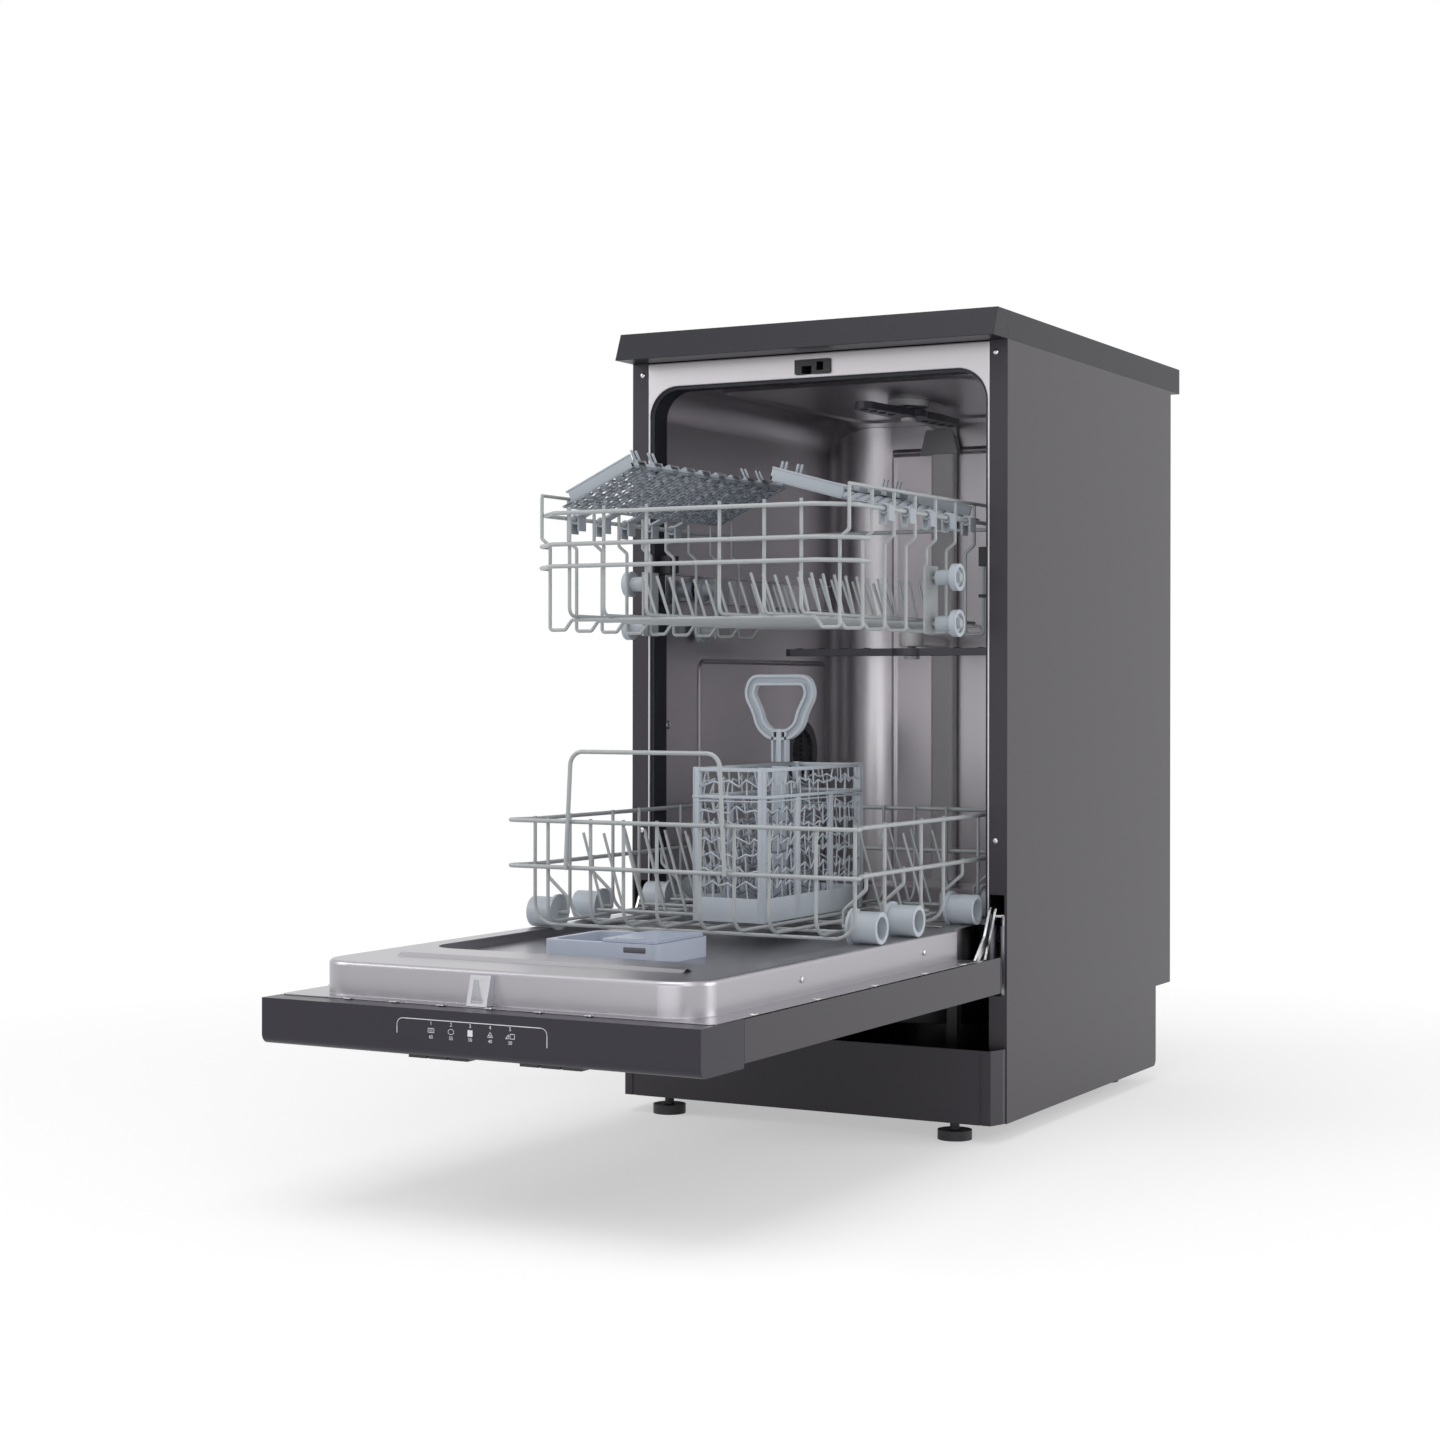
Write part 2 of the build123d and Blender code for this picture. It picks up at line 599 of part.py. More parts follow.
def drain_pump():
    start = FILTER_X + FILTER_HOUSING_R + SEAM
    body = disc_x(DRAIN_R, start + 4, DRAIN_X + DRAIN_R, FILTER_Y, DRAIN_Z)
    body += disc_x(SPIGOT_R, start, DRAIN_X, FILTER_Y, DRAIN_Z)
    body += disc_y(DRAIN_PIPE_R, DRAIN_X, FILTER_Y, SPIGOT_FRONT + 1, DRAIN_Z)
    body += disc_y(SPIGOT_R, DRAIN_X, SPIGOT_FRONT, SPIGOT_BACK, DRAIN_Z)
    body -= disc_y(SPIGOT_BORE_R, DRAIN_X, SPIGOT_FRONT - 35, SPIGOT_BACK + 1, DRAIN_Z)
    body += block(DRAIN_X - 12, DRAIN_X + 12, FILTER_Y - 12, FILTER_Y + 12, TRAY_TOP, DRAIN_Z)
    write("drain_pump", body)


def softener_tank():
    x0 = SALT_X - 55
    x1 = SALT_X + 39
    y0 = SALT_Y - 55
    y1 = SALT_Y + 75
    tank = slab(x0, x1, y0, y1, TANK_Z0, TANK_Z1, 16)
    tank += disc_z(SALT_NECK_R, SALT_X, SALT_Y, TANK_Z1, WELL_Z)
    tank -= disc_z(SALT_NECK_R - 4, SALT_X, SALT_Y, TANK_Z1 - 27, WELL_Z + 1)
    for x in (x0 + 14, x1 - 14):
        tank += block(x - 6, x + 6, y0 + 15, y1 - 15, TRAY_TOP, TANK_Z0)
    write("softener_tank", tank)


def salt_cap():
    cap = disc_z(SALT_R, SALT_X, SALT_Y, WELL_Z + SEAM, WELL_Z + 7)
    cap += disc_z(SALT_NECK_R - 4 - SEAM, SALT_X, SALT_Y, WELL_Z - 12, WELL_Z + SEAM)
    cap += block(SALT_X - 22, SALT_X + 22, SALT_Y - 4, SALT_Y + 4, WELL_Z + 7, WELL_Z + 11.5)
    write("salt_cap", cap)


def filter_cup():
    wall = 2.5
    bottom = SUMP_FLANGE_Z - FILTER_DEPTH
    cup = disc_z(FILTER_R, FILTER_X, FILTER_Y, bottom, SUMP_FLANGE_Z + 2)
    cup -= disc_z(FILTER_R - wall, FILTER_X, FILTER_Y, bottom + wall, SUMP_FLANGE_Z + 3)
    cup += block(FILTER_X - FILTER_R + 1, FILTER_X + FILTER_R - 1, FILTER_Y - 2, FILTER_Y + 2,
                 SUMP_FLANGE_Z - 12, SUMP_FLANGE_Z + 6)
    write("filter_cup", cup)


def inlet_valve():
    wall_front = TRAY_BACK - TRAY_WALL - SEAM
    body = slab(VALVE_X - 16, VALVE_X + 16, TRAY_BACK - 50, wall_front, VALVE_Z - 20, VALVE_Z + 28, 5)
    body += block(VALVE_X - 10, VALVE_X + 10, TRAY_BACK - 44, TRAY_BACK - 10, TRAY_TOP, VALVE_Z - 20)
    body += disc_y(THREAD_NECK_R, VALVE_X, wall_front - 1, SPIGOT_FRONT + 1, VALVE_Z)
    body += disc_y(THREAD_R, VALVE_X, SPIGOT_FRONT, SPIGOT_BACK, VALVE_Z)
    body -= disc_y(THREAD_R - 3, VALVE_X, SPIGOT_BACK - 14, SPIGOT_BACK + 1, VALVE_Z)
    write("inlet_valve", body)


def counterweight():
    y1 = PUMP_Y + PUMP_R + 54
    weight = slab(WEIGHT_X0, POST_X - 10, y1 - 48, y1, TRAY_TOP, TRAY_TOP + WEIGHT_H, 6)
    write("counterweight", weight)


def air_break():
    ring_x = -TUB_HALF + 0.4
    tank = slab(-INNER_HALF + 1, -TUB_OUT - 1.6, VENT_Y - 245, VENT_Y + 55, VENT_Z - 130, VENT_Z + 230, 6)
    neck = disc_x(VENT_R, -TUB_OUT - 2, ring_x, VENT_Y, VENT_Z)
    ring = disc_x(VENT_R + 7, ring_x, ring_x + 3.6, VENT_Y, VENT_Z)
    bore = disc_x(VENT_R - 5, -TUB_OUT + 1, ring_x + 5, VENT_Y, VENT_Z)
    write("air_break", (tank + neck + ring) - bore)


def foot(x, y, name):
    stem_top = TRAY_TOP + FOOT_BOSS_H - 4
    write(name, disc_z(FOOT_R, x, y, 0, FOOT_H) + disc_z(FOOT_STEM_R, x, y, FOOT_H, stem_top))


# Rails, feed pipe, spray arms and lock

def upper_rails():
    rail = block(RAIL_INNER_X, RAIL_OUTER_X, RAIL_FRONT, RAIL_BACK, RAIL_LOW - RAIL_T, RAIL_HIGH + RAIL_T)
    rail -= block(RAIL_INNER_X - 1, RAIL_OUTER_X - RAIL_T, RAIL_FRONT - 1, RAIL_BACK + 1, RAIL_LOW, RAIL_HIGH)
    for y in (RAIL_FRONT + 30, (RAIL_FRONT + RAIL_BACK) / 2, RAIL_BACK - 60):
        rail += disc_x(9, RAIL_OUTER_X, TUB_HALF, y, RAIL_Z)
    write("upper_rails", rail, mirrored(rail))


def rail_end_caps():
    low = RAIL_Z - CAP_BELOW
    high = RAIL_Z + CAP_ABOVE
    back = RAIL_FRONT + CAP_OVERLAP
    seat = RAIL_T + 0.05
    cap = block(CAP_INNER_X, TUB_HALF - GASKET_T - 0.3, CAP_FRONT, CAP_BACK, low, high)
    cap += block(CAP_INNER_X, RAIL_OUTER_X, CAP_BACK, back, low, RAIL_LOW - seat)
    cap += block(CAP_INNER_X, RAIL_OUTER_X, CAP_BACK, back, RAIL_HIGH + seat, high)
    cap -= block(CAP_INNER_X - 1, RAIL_OUTER_X - 1.4, 0, back + 1, RAIL_LOW - 0.2, RAIL_HIGH + 0.2)
    write("rail_end_caps", cap, mirrored(cap))


def arm_pin(y, arm_z, top):
    """The pin that a hanging spray arm turns on, and the collar under the arm."""
    pin = disc_z(ARM_PIN_R, 0, y, arm_z - 3, top)
    return pin + disc_z(ARM_PIN_R + 4, 0, y, arm_z - 4, arm_z - ARM_GAP)


def feed_pipe():
    riser = slab(RISER_X - RISER_W / 2, RISER_X + RISER_W / 2, RISER_FRONT, RISER_BACK, TROUGH_Z + 7,
                 RISER_TOP, 5)
    riser += slab(RISER_X - RISER_W / 2, RISER_X + RISER_W / 2, RISER_PIPE_Y - PIPE_R - 3, RISER_BACK,
                  TROUGH_Z + 0.1, TROUGH_Z + 10, 5)
    branch = rod([(RISER_X, RISER_FRONT + 6, BRANCH_Z), (0, ARM_Y, BRANCH_Z)], BRANCH_R)
    hub = disc_z(HUB_R, 0, ARM_Y, BRANCH_Z - BRANCH_R, BRANCH_Z + BRANCH_R)
    hub += arm_pin(ARM_Y, MIDDLE_ARM_Z, BRANCH_Z)
    duct_top = TUB_TOP - 0.2
    wide = CEILING_DUCT_HALF
    duct = prism_z([(RISER_X - wide, RISER_BACK), (RISER_X + wide, RISER_BACK), (wide, CEILING_ARM_Y),
                    (-wide, CEILING_ARM_Y)], CEILING_DUCT_Z, duct_top)
    duct += disc_z(CEILING_DUCT_R, 0, CEILING_ARM_Y, CEILING_DUCT_Z, duct_top)
    duct += arm_pin(CEILING_ARM_Y, CEILING_ARM_Z, CEILING_DUCT_Z)
    duct += block(RISER_X - 12, RISER_X + 12, RISER_FRONT + 2, RISER_BACK, RISER_TOP - 1, duct_top)
    write("feed_pipe", riser + branch + hub + duct)


def spray_arm(reach, z, thick, hub_bore, hub_r, y, twist, name):
    wide = 17.0
    tip = 11.0
    half_outline = [(0, -wide), (reach * 0.5, -wide), (reach - tip, -tip), (reach - 3, -tip / 2), (reach, 0),
                    (reach - 3, tip / 2), (reach - tip, tip), (reach * 0.6, tip + 1), (0, wide)]
    blade = prism_z(half_outline, z, z + thick)
    arm = blade + Rot(0, 0, 180) * blade + disc_z(hub_r, 0, 0, z, z + thick)
    arm -= disc_z(hub_bore, 0, 0, z - 1, z + thick + 1)
    write(name, Pos(0, y, 0) * Rot(0, 0, twist) * arm)


def door_lock():
    body = block(-LOCK_W / 2, LOCK_W / 2, -4, LOCK_DEPTH, LOCK_Z, LOCK_Z + LOCK_H)
    body -= block(-12, 0, -5, 18, LOCK_Z - 1, LOCK_Z + 8)
    body -= block(6, 14, -5, 12, LOCK_Z + 3, LOCK_Z + LOCK_H - 3)
    write("door_lock", body)


# Hinge

def hinge_brackets():
    plate = prism_x([(HINGE_Y - 9, HINGE_Z - 9), (HINGE_Y - 9, HINGE_Z + 9), (2, HINGE_Z + 22),
                     (46, HINGE_Z + 22), (46, 100), (TRAY_PLATE_Y, TRAY_TOP), (6, TRAY_TOP),
                     (6, HINGE_Z - 41), (2, HINGE_Z - 28)], BRACKET_X0, BRACKET_X1)
    pin = disc_x(PIN_R, BRACKET_X1, ARM_X1 + 3, HINGE_Y, HINGE_Z)
    head = disc_x(PIN_R + 3, ARM_X1 + 0.4, ARM_X1 + 3, HINGE_Y, HINGE_Z)
    anchor = block(BRACKET_X0, SPRING_X + 4, SPRING_Y - 5, SPRING_Y + 5, SPRING_FOOT - 6, SPRING_FOOT - 3)
    anchor += disc_z(SPRING_CORE_R, SPRING_X, SPRING_Y, SPRING_FOOT - 4, SPRING_FOOT + 4)
    bracket = plate + pin + head + anchor
    write("hinge_brackets", bracket, mirrored(bracket))


def hinge_arms():
    leg_z = DOOR_SKIN_Z + 10
    hook_z = SPRING_HEAD + 10
    long_leg = block(ARM_X0, ARM_X1, -130, HINGE_Y, leg_z, leg_z + 25)
    tail = prism_x([(HINGE_Y - 20, 170), (HINGE_Y + 4, 171), (HINGE_Y + 11, 181), (SPRING_Y + 5, hook_z + 4),
                    (SPRING_Y - 5, hook_z + 8), (HINGE_Y - 13, leg_z + 25)], ARM_X0, ARM_X1)
    wing = prism_x([(-51, 190), (-40, 190), (-16, 205), (-4, 243), (-10, 240), (-24, 214)], ARM_X0, ARM_X1)
    arm = long_leg + tail + wing
    arm -= disc_x(PIN_R + PIN_PLAY, ARM_X0 - 1, ARM_X1 + 1, HINGE_Y, HINGE_Z)
    arm += disc_x(2.2, ARM_X1, SPRING_X + 3.5, SPRING_Y, hook_z)
    arm += disc_z(SPRING_CORE_R, SPRING_X, SPRING_Y, SPRING_HEAD - 4, hook_z)
    arm += block(ARM_X1, DOOR_HALF - DOOR_SKIN_T, -120, -60, leg_z, leg_z + 1.5)
    write("hinge_arms", arm, mirrored(arm))


def door_springs():
    coil = disc_z(SPRING_R, SPRING_X, SPRING_Y, SPRING_FOOT, SPRING_HEAD)
    coil -= disc_z(SPRING_R - SPRING_WIRE, SPRING_X, SPRING_Y, SPRING_FOOT - 1, SPRING_HEAD + 1)
    write("door_springs", coil, mirrored(coil))


# Door

def door_outer_panel():
    front = FASCIA_BACK + 0.5
    sheet = block(-DOOR_HALF, DOOR_HALF, front, DOOR_BACK, DOOR_SKIN_Z, DOOR_SKIN_Z + DOOR_SKIN_T)
    for side in (-1, 1):
        x0, x1 = sorted((side * DOOR_HALF, side * (DOOR_HALF - DOOR_SKIN_T)))
        sheet += block(x0, x1, front, DOOR_BACK, DOOR_SKIN_Z, DOOR_RIM_Z)
    skirt = block(-SKIRT_HALF, SKIRT_HALF, DOOR_BACK - 1, SKIRT_BACK, DOOR_SKIN_Z, DOOR_SKIN_Z + DOOR_SKIN_T)
    skirt += block(-SKIRT_HALF, SKIRT_HALF, SKIRT_BACK - DOOR_SKIN_T, SKIRT_BACK, DOOR_SKIN_Z,
                   DOOR_SKIN_Z + SKIRT_LIP)
    write("door_outer_panel", sheet + skirt)


def button_places():
    places = []
    for start in BUTTON_GROUP_X:
        for n in range(BUTTON_COUNT // 2):
            places.append(start + n * BUTTON_PITCH)
    return places


def control_panel():
    outline = [(DOOR_FRONT, FASCIA_Z), (FASCIA_BACK, FASCIA_Z), (FASCIA_BACK, FASCIA_TOP),
               (DOOR_FRONT, FASCIA_TOP)]
    body = prism_x(outline, -DOOR_HALF, DOOR_HALF)
    low_edge = body.edges().filter_by(Axis.X).group_by(Axis.Y)[0].group_by(Axis.Z)[0]
    body = fillet(low_edge, FASCIA_R)
    room = block(-DOOR_HALF + FASCIA_T, DOOR_HALF - FASCIA_T, DOOR_FRONT + FASCIA_T, FASCIA_BACK + 1,
                 FASCIA_Z + FASCIA_T, FASCIA_TOP - FASCIA_T)
    room_edge = room.edges().filter_by(Axis.X).group_by(Axis.Y)[0].group_by(Axis.Z)[0]
    room = fillet(room_edge, FASCIA_R - FASCIA_T)
    body -= room
    body -= block(-DOOR_HALF + 20, DOOR_HALF - 20, LINER_FRONT + 6, FASCIA_BACK + 1,
                  FASCIA_TOP - FASCIA_T - 1, FASCIA_TOP + 1)
    half_w = BUTTON_W / 2 + BUTTON_CLEAR
    half_d = BUTTON_DEPTH / 2 + BUTTON_CLEAR
    for x in button_places():
        body -= block(x - half_w, x + half_w, BUTTON_Y - half_d, BUTTON_Y + half_d, FASCIA_Z - 1,
                      FASCIA_Z + FASCIA_T + 1)
    boss_y = BOARD_FRONT + BOARD_DEPTH - 10
    for x in (-BOARD_BOSS_X, BOARD_BOSS_X):
        body += block(x - 3, x + 3, boss_y, boss_y + 6, FASCIA_Z + FASCIA_T, BOARD_Z - 1)
    write("control_panel", body)


def control_board():
    top = BOARD_Z - 1 + BOARD_T
    middle = BOARD_FRONT + 16
    board = block(BOARD_X0, BOARD_X1, BOARD_FRONT, BOARD_FRONT + BOARD_DEPTH, BOARD_Z - 1, top)
    for x, w, d, h in ((-120, 10, 20, 9), (-60, 14, 14, 4), (-20, 18, 14, 10), (30, 16, 16, 14)):
        board += block(x - w / 2, x + w / 2, middle - d / 2, middle + d / 2, top, top + h)
    write("control_board", board)


def button(n, x):
    cap = block(x - BUTTON_W / 2, x + BUTTON_W / 2, BUTTON_Y - BUTTON_DEPTH / 2, BUTTON_Y + BUTTON_DEPTH / 2,
                FASCIA_Z - BUTTON_PROUD, FASCIA_Z + FASCIA_T - 0.4)
    write("button_%d" % n, cap)


def liner_hump(inset):
    """The raised part of the liner, with a rounded top edge, pulled in by the sheet thickness."""
    half = LINER_HALF - inset
    body = slab(-half, half, LINER_FRONT + inset, LINER_WALL_BACK + 2 * LINER_FRONT_R, LINER_FLANGE_Z - 2,
                LINER_TOP - inset, LINER_FRONT_R - inset)
    body = fillet(body.edges().group_by(Axis.Z)[-1], LINER_TOP_R - inset)
    return body & block(-half, half, LINER_FRONT, LINER_WALL_BACK, LINER_FLANGE_Z - 2, LINER_TOP)


def liner_recess(grow):
    """The sunk middle of the liner, which slopes up to the back, grown by the sheet thickness."""
    half = RECESS_HALF + grow
    front = RECESS_FRONT - grow
    back = LINER_BACK + 3
    top = LINER_TOP if grow else LINER_TOP + 5
    profile = [(front, top), (front, RECESS_Z - grow), (RECESS_BEND_Y, RECESS_Z - grow),
               (back, RECESS_TAIL_Z - grow), (back, top)]
    plan = slab(-half, half, front, LINER_BACK + 2 * RECESS_R + 20, RECESS_Z - 5, LINER_TOP + 6,
                RECESS_R + grow)
    return prism_x(profile, -half, half) & plan


def door_liner():
    t = LINER_T
    flange = slab(-LINER_FLANGE_HALF, LINER_FLANGE_HALF, LINER_FRONT - LINER_FLANGE_FRONT, LINER_BACK,
                  LINER_FLANGE_Z, LINER_FLANGE_Z + t, 6)
    flange -= block(-HALF, HALF, LINER_WALL_BACK, LINER_BACK + 20, LINER_FLANGE_Z - 1, LINER_FLANGE_Z + 2)
    hump = liner_hump(0)
    shell = hump - liner_hump(t)
    shell -= block(-HALF, HALF, LINER_FRONT - 1, 0, LINER_FLANGE_Z - 3, LINER_FLANGE_Z)
    shell += block(-LINER_TAIL_HALF, LINER_TAIL_HALF, LINER_WALL_BACK, LINER_BACK, LINER_TOP - t, LINER_TOP)
    shell += liner_recess(t) & block(-HALF, HALF, RECESS_FRONT - 5, LINER_BACK, RECESS_Z - 5, LINER_TOP)
    shell -= liner_recess(0)
    liner = shell + (flange - hump)
    liner -= slab(-DISP_HALF + 3, DISP_HALF - 3, DISP_FRONT + 3, DISP_BACK - 3, RECESS_Z - 3, RECESS_Z + 1, 4)
    write("door_liner", liner)


def latch_strike():
    foot_z = LINER_FLANGE_Z + 1.1
    back = LINER_FRONT - 0.05
    wedge = prism_x([(LINER_FRONT - 12.4, foot_z), (back, foot_z), (back, LINER_TOP - LINER_TOP_R),
                     (LINER_FRONT - 5.4, LINER_TOP - LINER_TOP_R)], -23, -2)
    wedge -= block(-19, -6, LINER_FRONT - 20, LINER_FRONT - 2.5, foot_z + 2.4, LINER_TOP - 8)
    write("latch_strike", wedge)


def dispenser_body():
    neck = DISP_NECK
    wall = CHAMBER_WALL
    body = slab(-DISP_HALF, DISP_HALF, DISP_FRONT, DISP_BACK, RECESS_Z + 0.05, DISP_TOP, 8)
    body += slab(-DISP_HALF + neck, DISP_HALF - neck, DISP_FRONT + neck, DISP_BACK - neck,
                 RECESS_Z - DISP_DEPTH, RECESS_Z + 1, 4)
    bottom = RECESS_Z - CHAMBER_DEPTH
    body -= slab(CHAMBER_X0, CHAMBER_X1, DISP_FRONT + wall + 6, DISP_BACK - wall, bottom, DISP_TOP + 1, 5)
    body -= slab(4, DISP_HALF - 8, DISP_FRONT + wall + 16, DISP_BACK - wall, bottom, DISP_TOP + 1, 5)
    groove = LATCH_HALF_Y + 0.6
    body -= block(CHAMBER_X0 + 4, LATCH_X + LATCH_HALF + 2, LATCH_Y - groove, LATCH_Y + groove,
                  DISP_TOP - LATCH_GROOVE, DISP_TOP + 1)
    write("dispenser_body", body)


def dispenser_lid():
    z0 = DISP_TOP + LID_GAP
    half_x = LATCH_HALF + LATCH_CLEAR
    half_y = LATCH_HALF_Y + LATCH_CLEAR
    lid = slab(0, DISP_HALF - 3, DISP_FRONT + 3, DISP_BACK - 3, z0, z0 + LID_T, 5)
    lid -= block(LATCH_X - half_x, LATCH_X + half_x, LATCH_Y - half_y, LATCH_Y + half_y, z0 - 1,
                 z0 + LID_T + 1)
    write("dispenser_lid", lid)


def dispenser_latch():
    z0 = DISP_TOP + LID_GAP
    pad = slab(LATCH_X - LATCH_HALF, LATCH_X + LATCH_HALF, LATCH_Y - LATCH_HALF_Y, LATCH_Y + LATCH_HALF_Y, z0,
               z0 + LID_T + 0.8, LATCH_HALF_Y - 0.5)
    write("dispenser_latch", pad)


# Upper rack

def stack(r_a, r_b):
    """Distance between the centres of two wires that lie on each other."""
    return r_a + r_b + WIRE_GAP


def upper_rim():
    z = UP_RIM_Z
    bend = UP_FRONT + UP_CORNER
    split = bend + 12
    front_x = UP_HALF - UP_CORNER
    rear = UP_BACK - UP_BACK_RUN
    front = rod([(-UP_HALF, split, z), (-UP_HALF, bend, z), (-front_x, UP_FRONT, z), (front_x, UP_FRONT, z),
                 (UP_HALF, bend, z), (UP_HALF, split, z)], RIM_R, 10)
    back = rod([(-UP_HALF, rear, z), (-UP_HALF, UP_BACK, z), (UP_HALF, UP_BACK, z), (UP_HALF, rear, z)],
               RIM_R, 14)
    sides = [rod([(x, split, z), (x, rear, z)], RIM_R) for x in (-UP_HALF, UP_HALF)]
    return [front, back] + sides


def upper_hoop(z):
    half = UP_HOOP_HALF
    bend = UP_FRONT + UP_CORNER
    front_x = half - UP_CORNER
    return rod([(-half, UP_HOOP_BACK, z), (-half, bend, z), (-front_x, UP_FRONT, z), (front_x, UP_FRONT, z),
                (half, bend, z), (half, UP_HOOP_BACK, z)], RIM_R, 10)


def upper_cross(y):
    """One crossing wire: a jogged upright and a loop on each side, and the floor run between them."""
    raised = UP_HALF - stack(RIM_R, WIRE_R)
    side = [(raised, y, UP_RAISED_Z), (raised, y, UP_JOG_Z), (UP_SIDE_X, y, UP_JOG_Z - UP_JOG_DROP),
            (UP_SIDE_X, y, UP_LOOP_Z), (UP_SIDE_X - 18, y, UP_LOOP_Z), (UP_LOOP_X + 5, y, UP_FLOOR_Z),
            (UP_LOOP_X, y, UP_FLOOR_Z)]
    right = rod(side, WIRE_R, UP_BEND)
    floor = rod([(-UP_LOOP_X, y, UP_FLOOR_Z), (UP_LOOP_X, y, UP_FLOOR_Z)], WIRE_R)
    return [right, mirrored(right), floor]


def upper_long(x):
    """A front upright that turns back and runs along the floor."""
    z = UP_FLOOR_Z + stack(WIRE_R, WIRE_R)
    y = UP_FRONT + stack(RIM_R, WIRE_R)
    upright = rod([(x, y, UP_RIM_Z + 6), (x, y, z), (x, y + 20, z)], WIRE_R, 9)
    run = rod([(x, y + 20, z), (x, UP_BACK - 12, z)], WIRE_R)
    return [upright, run]


def upper_tines(x, ys, lean):
    z = UP_FLOOR_Z + stack(WIRE_R, WIRE_R)
    carrier = rod([(x, ys[0] - 8, z), (x, ys[-1] + 8, z)], WIRE_R)
    tines = [rod([(x, y, z + WIRE_R + WIRE_GAP), (x + lean, y, z + UP_TINE_H)], TINE_R) for y in ys]
    return [carrier] + tines


def roller_places():
    return [("front", ROLLER_FRONT_Y), ("rear", ROLLER_REAR_Y)]


def roller_pin(y, z):
    pin = disc_x(ROLLER_PIN_R, ROLLER_PLATE_X, ROLLER_OUTER_X + 1.4, y, z)
    return pin + disc_x(ROLLER_PIN_R + 2, ROLLER_OUTER_X + 0.3, ROLLER_OUTER_X + 1.4, y, z)


def roller_holder(y):
    """The plate that hangs on the side wires behind a pair of rollers, with their two pins."""
    plate = block(UP_SIDE_X + WIRE_R + WIRE_GAP, ROLLER_PLATE_X, y - 20, y + 12, ROLLER_LOW_Z - 10,
                  RAIL_Z + 12)
    return plate + roller_pin(y, RAIL_Z) + roller_pin(y, ROLLER_LOW_Z)


def upper_rack_wires():
    pieces = upper_rim()
    pieces += [upper_hoop(z) for z in UP_HOOP_Z]
    for n in range(UP_CROSS_COUNT):
        pieces += upper_cross(UP_CROSS_FRONT + n * UP_CROSS_PITCH)
    for x in UP_LONG_X:
        pieces += upper_long(x)
        pieces += upper_long(-x)
    raised_x = UP_HALF - stack(RIM_R, WIRE_R)
    raised_z = UP_RAISED_Z + WIRE_R + WIRE_GAP
    raised_back = UP_CROSS_FRONT + (UP_CROSS_COUNT - 1) * UP_CROSS_PITCH
    for x in (-raised_x, raised_x):
        pieces.append(rod([(x, UP_CROSS_FRONT, raised_z), (x, raised_back, raised_z)], WIRE_R))
    tine_y = [UP_CROSS_FRONT + 40 + UP_TINE_PITCH * n for n in range(UP_TINE_COUNT)]
    pieces += upper_tines(60, tine_y, -14)
    pieces += upper_tines(-62, tine_y, -14)
    pieces += upper_tines(UP_LOOP_X - 22, tine_y, -10)
    for _, y in roller_places():
        holder = roller_holder(y)
        pieces += [holder, mirrored(holder)]
    write("upper_rack_wires", *pieces)


def upper_rollers(name, y, z):
    wheel = disc_x(ROLLER_R, ROLLER_INNER_X, ROLLER_OUTER_X, y, z)
    wheel += disc_x(ROLLER_HUB_R, ROLLER_HUB_X, ROLLER_INNER_X, y, z)
    wheel -= disc_x(ROLLER_PIN_R + AXLE_CLEAR, ROLLER_HUB_X - 1, ROLLER_OUTER_X + 1, y, z)
    dish = disc_x(ROLLER_R - 4, ROLLER_OUTER_X - 3, ROLLER_OUTER_X + 1, y, z)
    wheel -= dish - disc_x(ROLLER_PIN_R + 3, ROLLER_OUTER_X - 4, ROLLER_OUTER_X + 2, y, z)
    write(name, wheel, mirrored(wheel))


# Cup shelves

def shelf_holes(front, back):
    """Rows of square holes, and a slot for each side wire that stands through the shelf."""
    holes = []
    rows = int((back - front - 20) / SHELF_HOLE_PITCH)
    for i in range(rows):
        for j in range(4):
            x = 30 + (j + 0.5 * (i % 2)) * SHELF_HOLE_PITCH
            y = front + 16 + i * SHELF_HOLE_PITCH
            if x < SHELF_W - 12:
                holes.append(Pos(x, y, 0) * Rectangle(12, 14))
    for n in range(UP_CROSS_COUNT):
        y = UP_CROSS_FRONT + n * UP_CROSS_PITCH
        if front < y < back:
            holes.append(Pos(0, y, 0) * Rectangle(2 * SHELF_NOTCH, 8))
    return holes


def shelf_plate(front, back):
    """A level shelf with its hinge line at the origin, reaching along +X."""
    outline = Rectangle(SHELF_W - SHELF_ROOT, back - front, align=(Align.MIN, Align.MIN))
    face = Pos(SHELF_ROOT, front, 0) * outline
    plate = extrude(face - shelf_holes(front, back), SHELF_T)
    for y in (front, back - SHELF_WALL):
        wedge = make_face(Polyline((SHELF_NOTCH + 2, 0), (SHELF_W, 0), (SHELF_W, SHELF_LIP),
                                   (SHELF_NOTCH + 14, SHELF_LIP), close=True))
        plate += extrude(Plane.XZ.offset(-y) * wedge, -SHELF_WALL)
    for n in range(int((back - front) / SHELF_TOOTH_PITCH)):
        y = front + 10 + n * SHELF_TOOTH_PITCH
        plate += block(SHELF_W - SHELF_WALL, SHELF_W, y, y + 20, 0, SHELF_LIP * 0.6)
    plate += block(SHELF_W - SHELF_WALL, SHELF_W, front, back, 0, SHELF_LIP * 0.3)
    return plate


def shelf_clip(y):
    y0 = y - SHELF_CLIP_HALF
    y1 = y + SHELF_CLIP_HALF
    ring = disc_y(RIM_R + SHELF_CLIP_WALL, 0, y0, y1, 0) + block(2.8, SHELF_ROOT + 1, y0, y1, 0, SHELF_T)
    return ring - disc_y(RIM_R + SHELF_CLIP_PLAY, 0, y0 - 1, y1 + 1, 0)


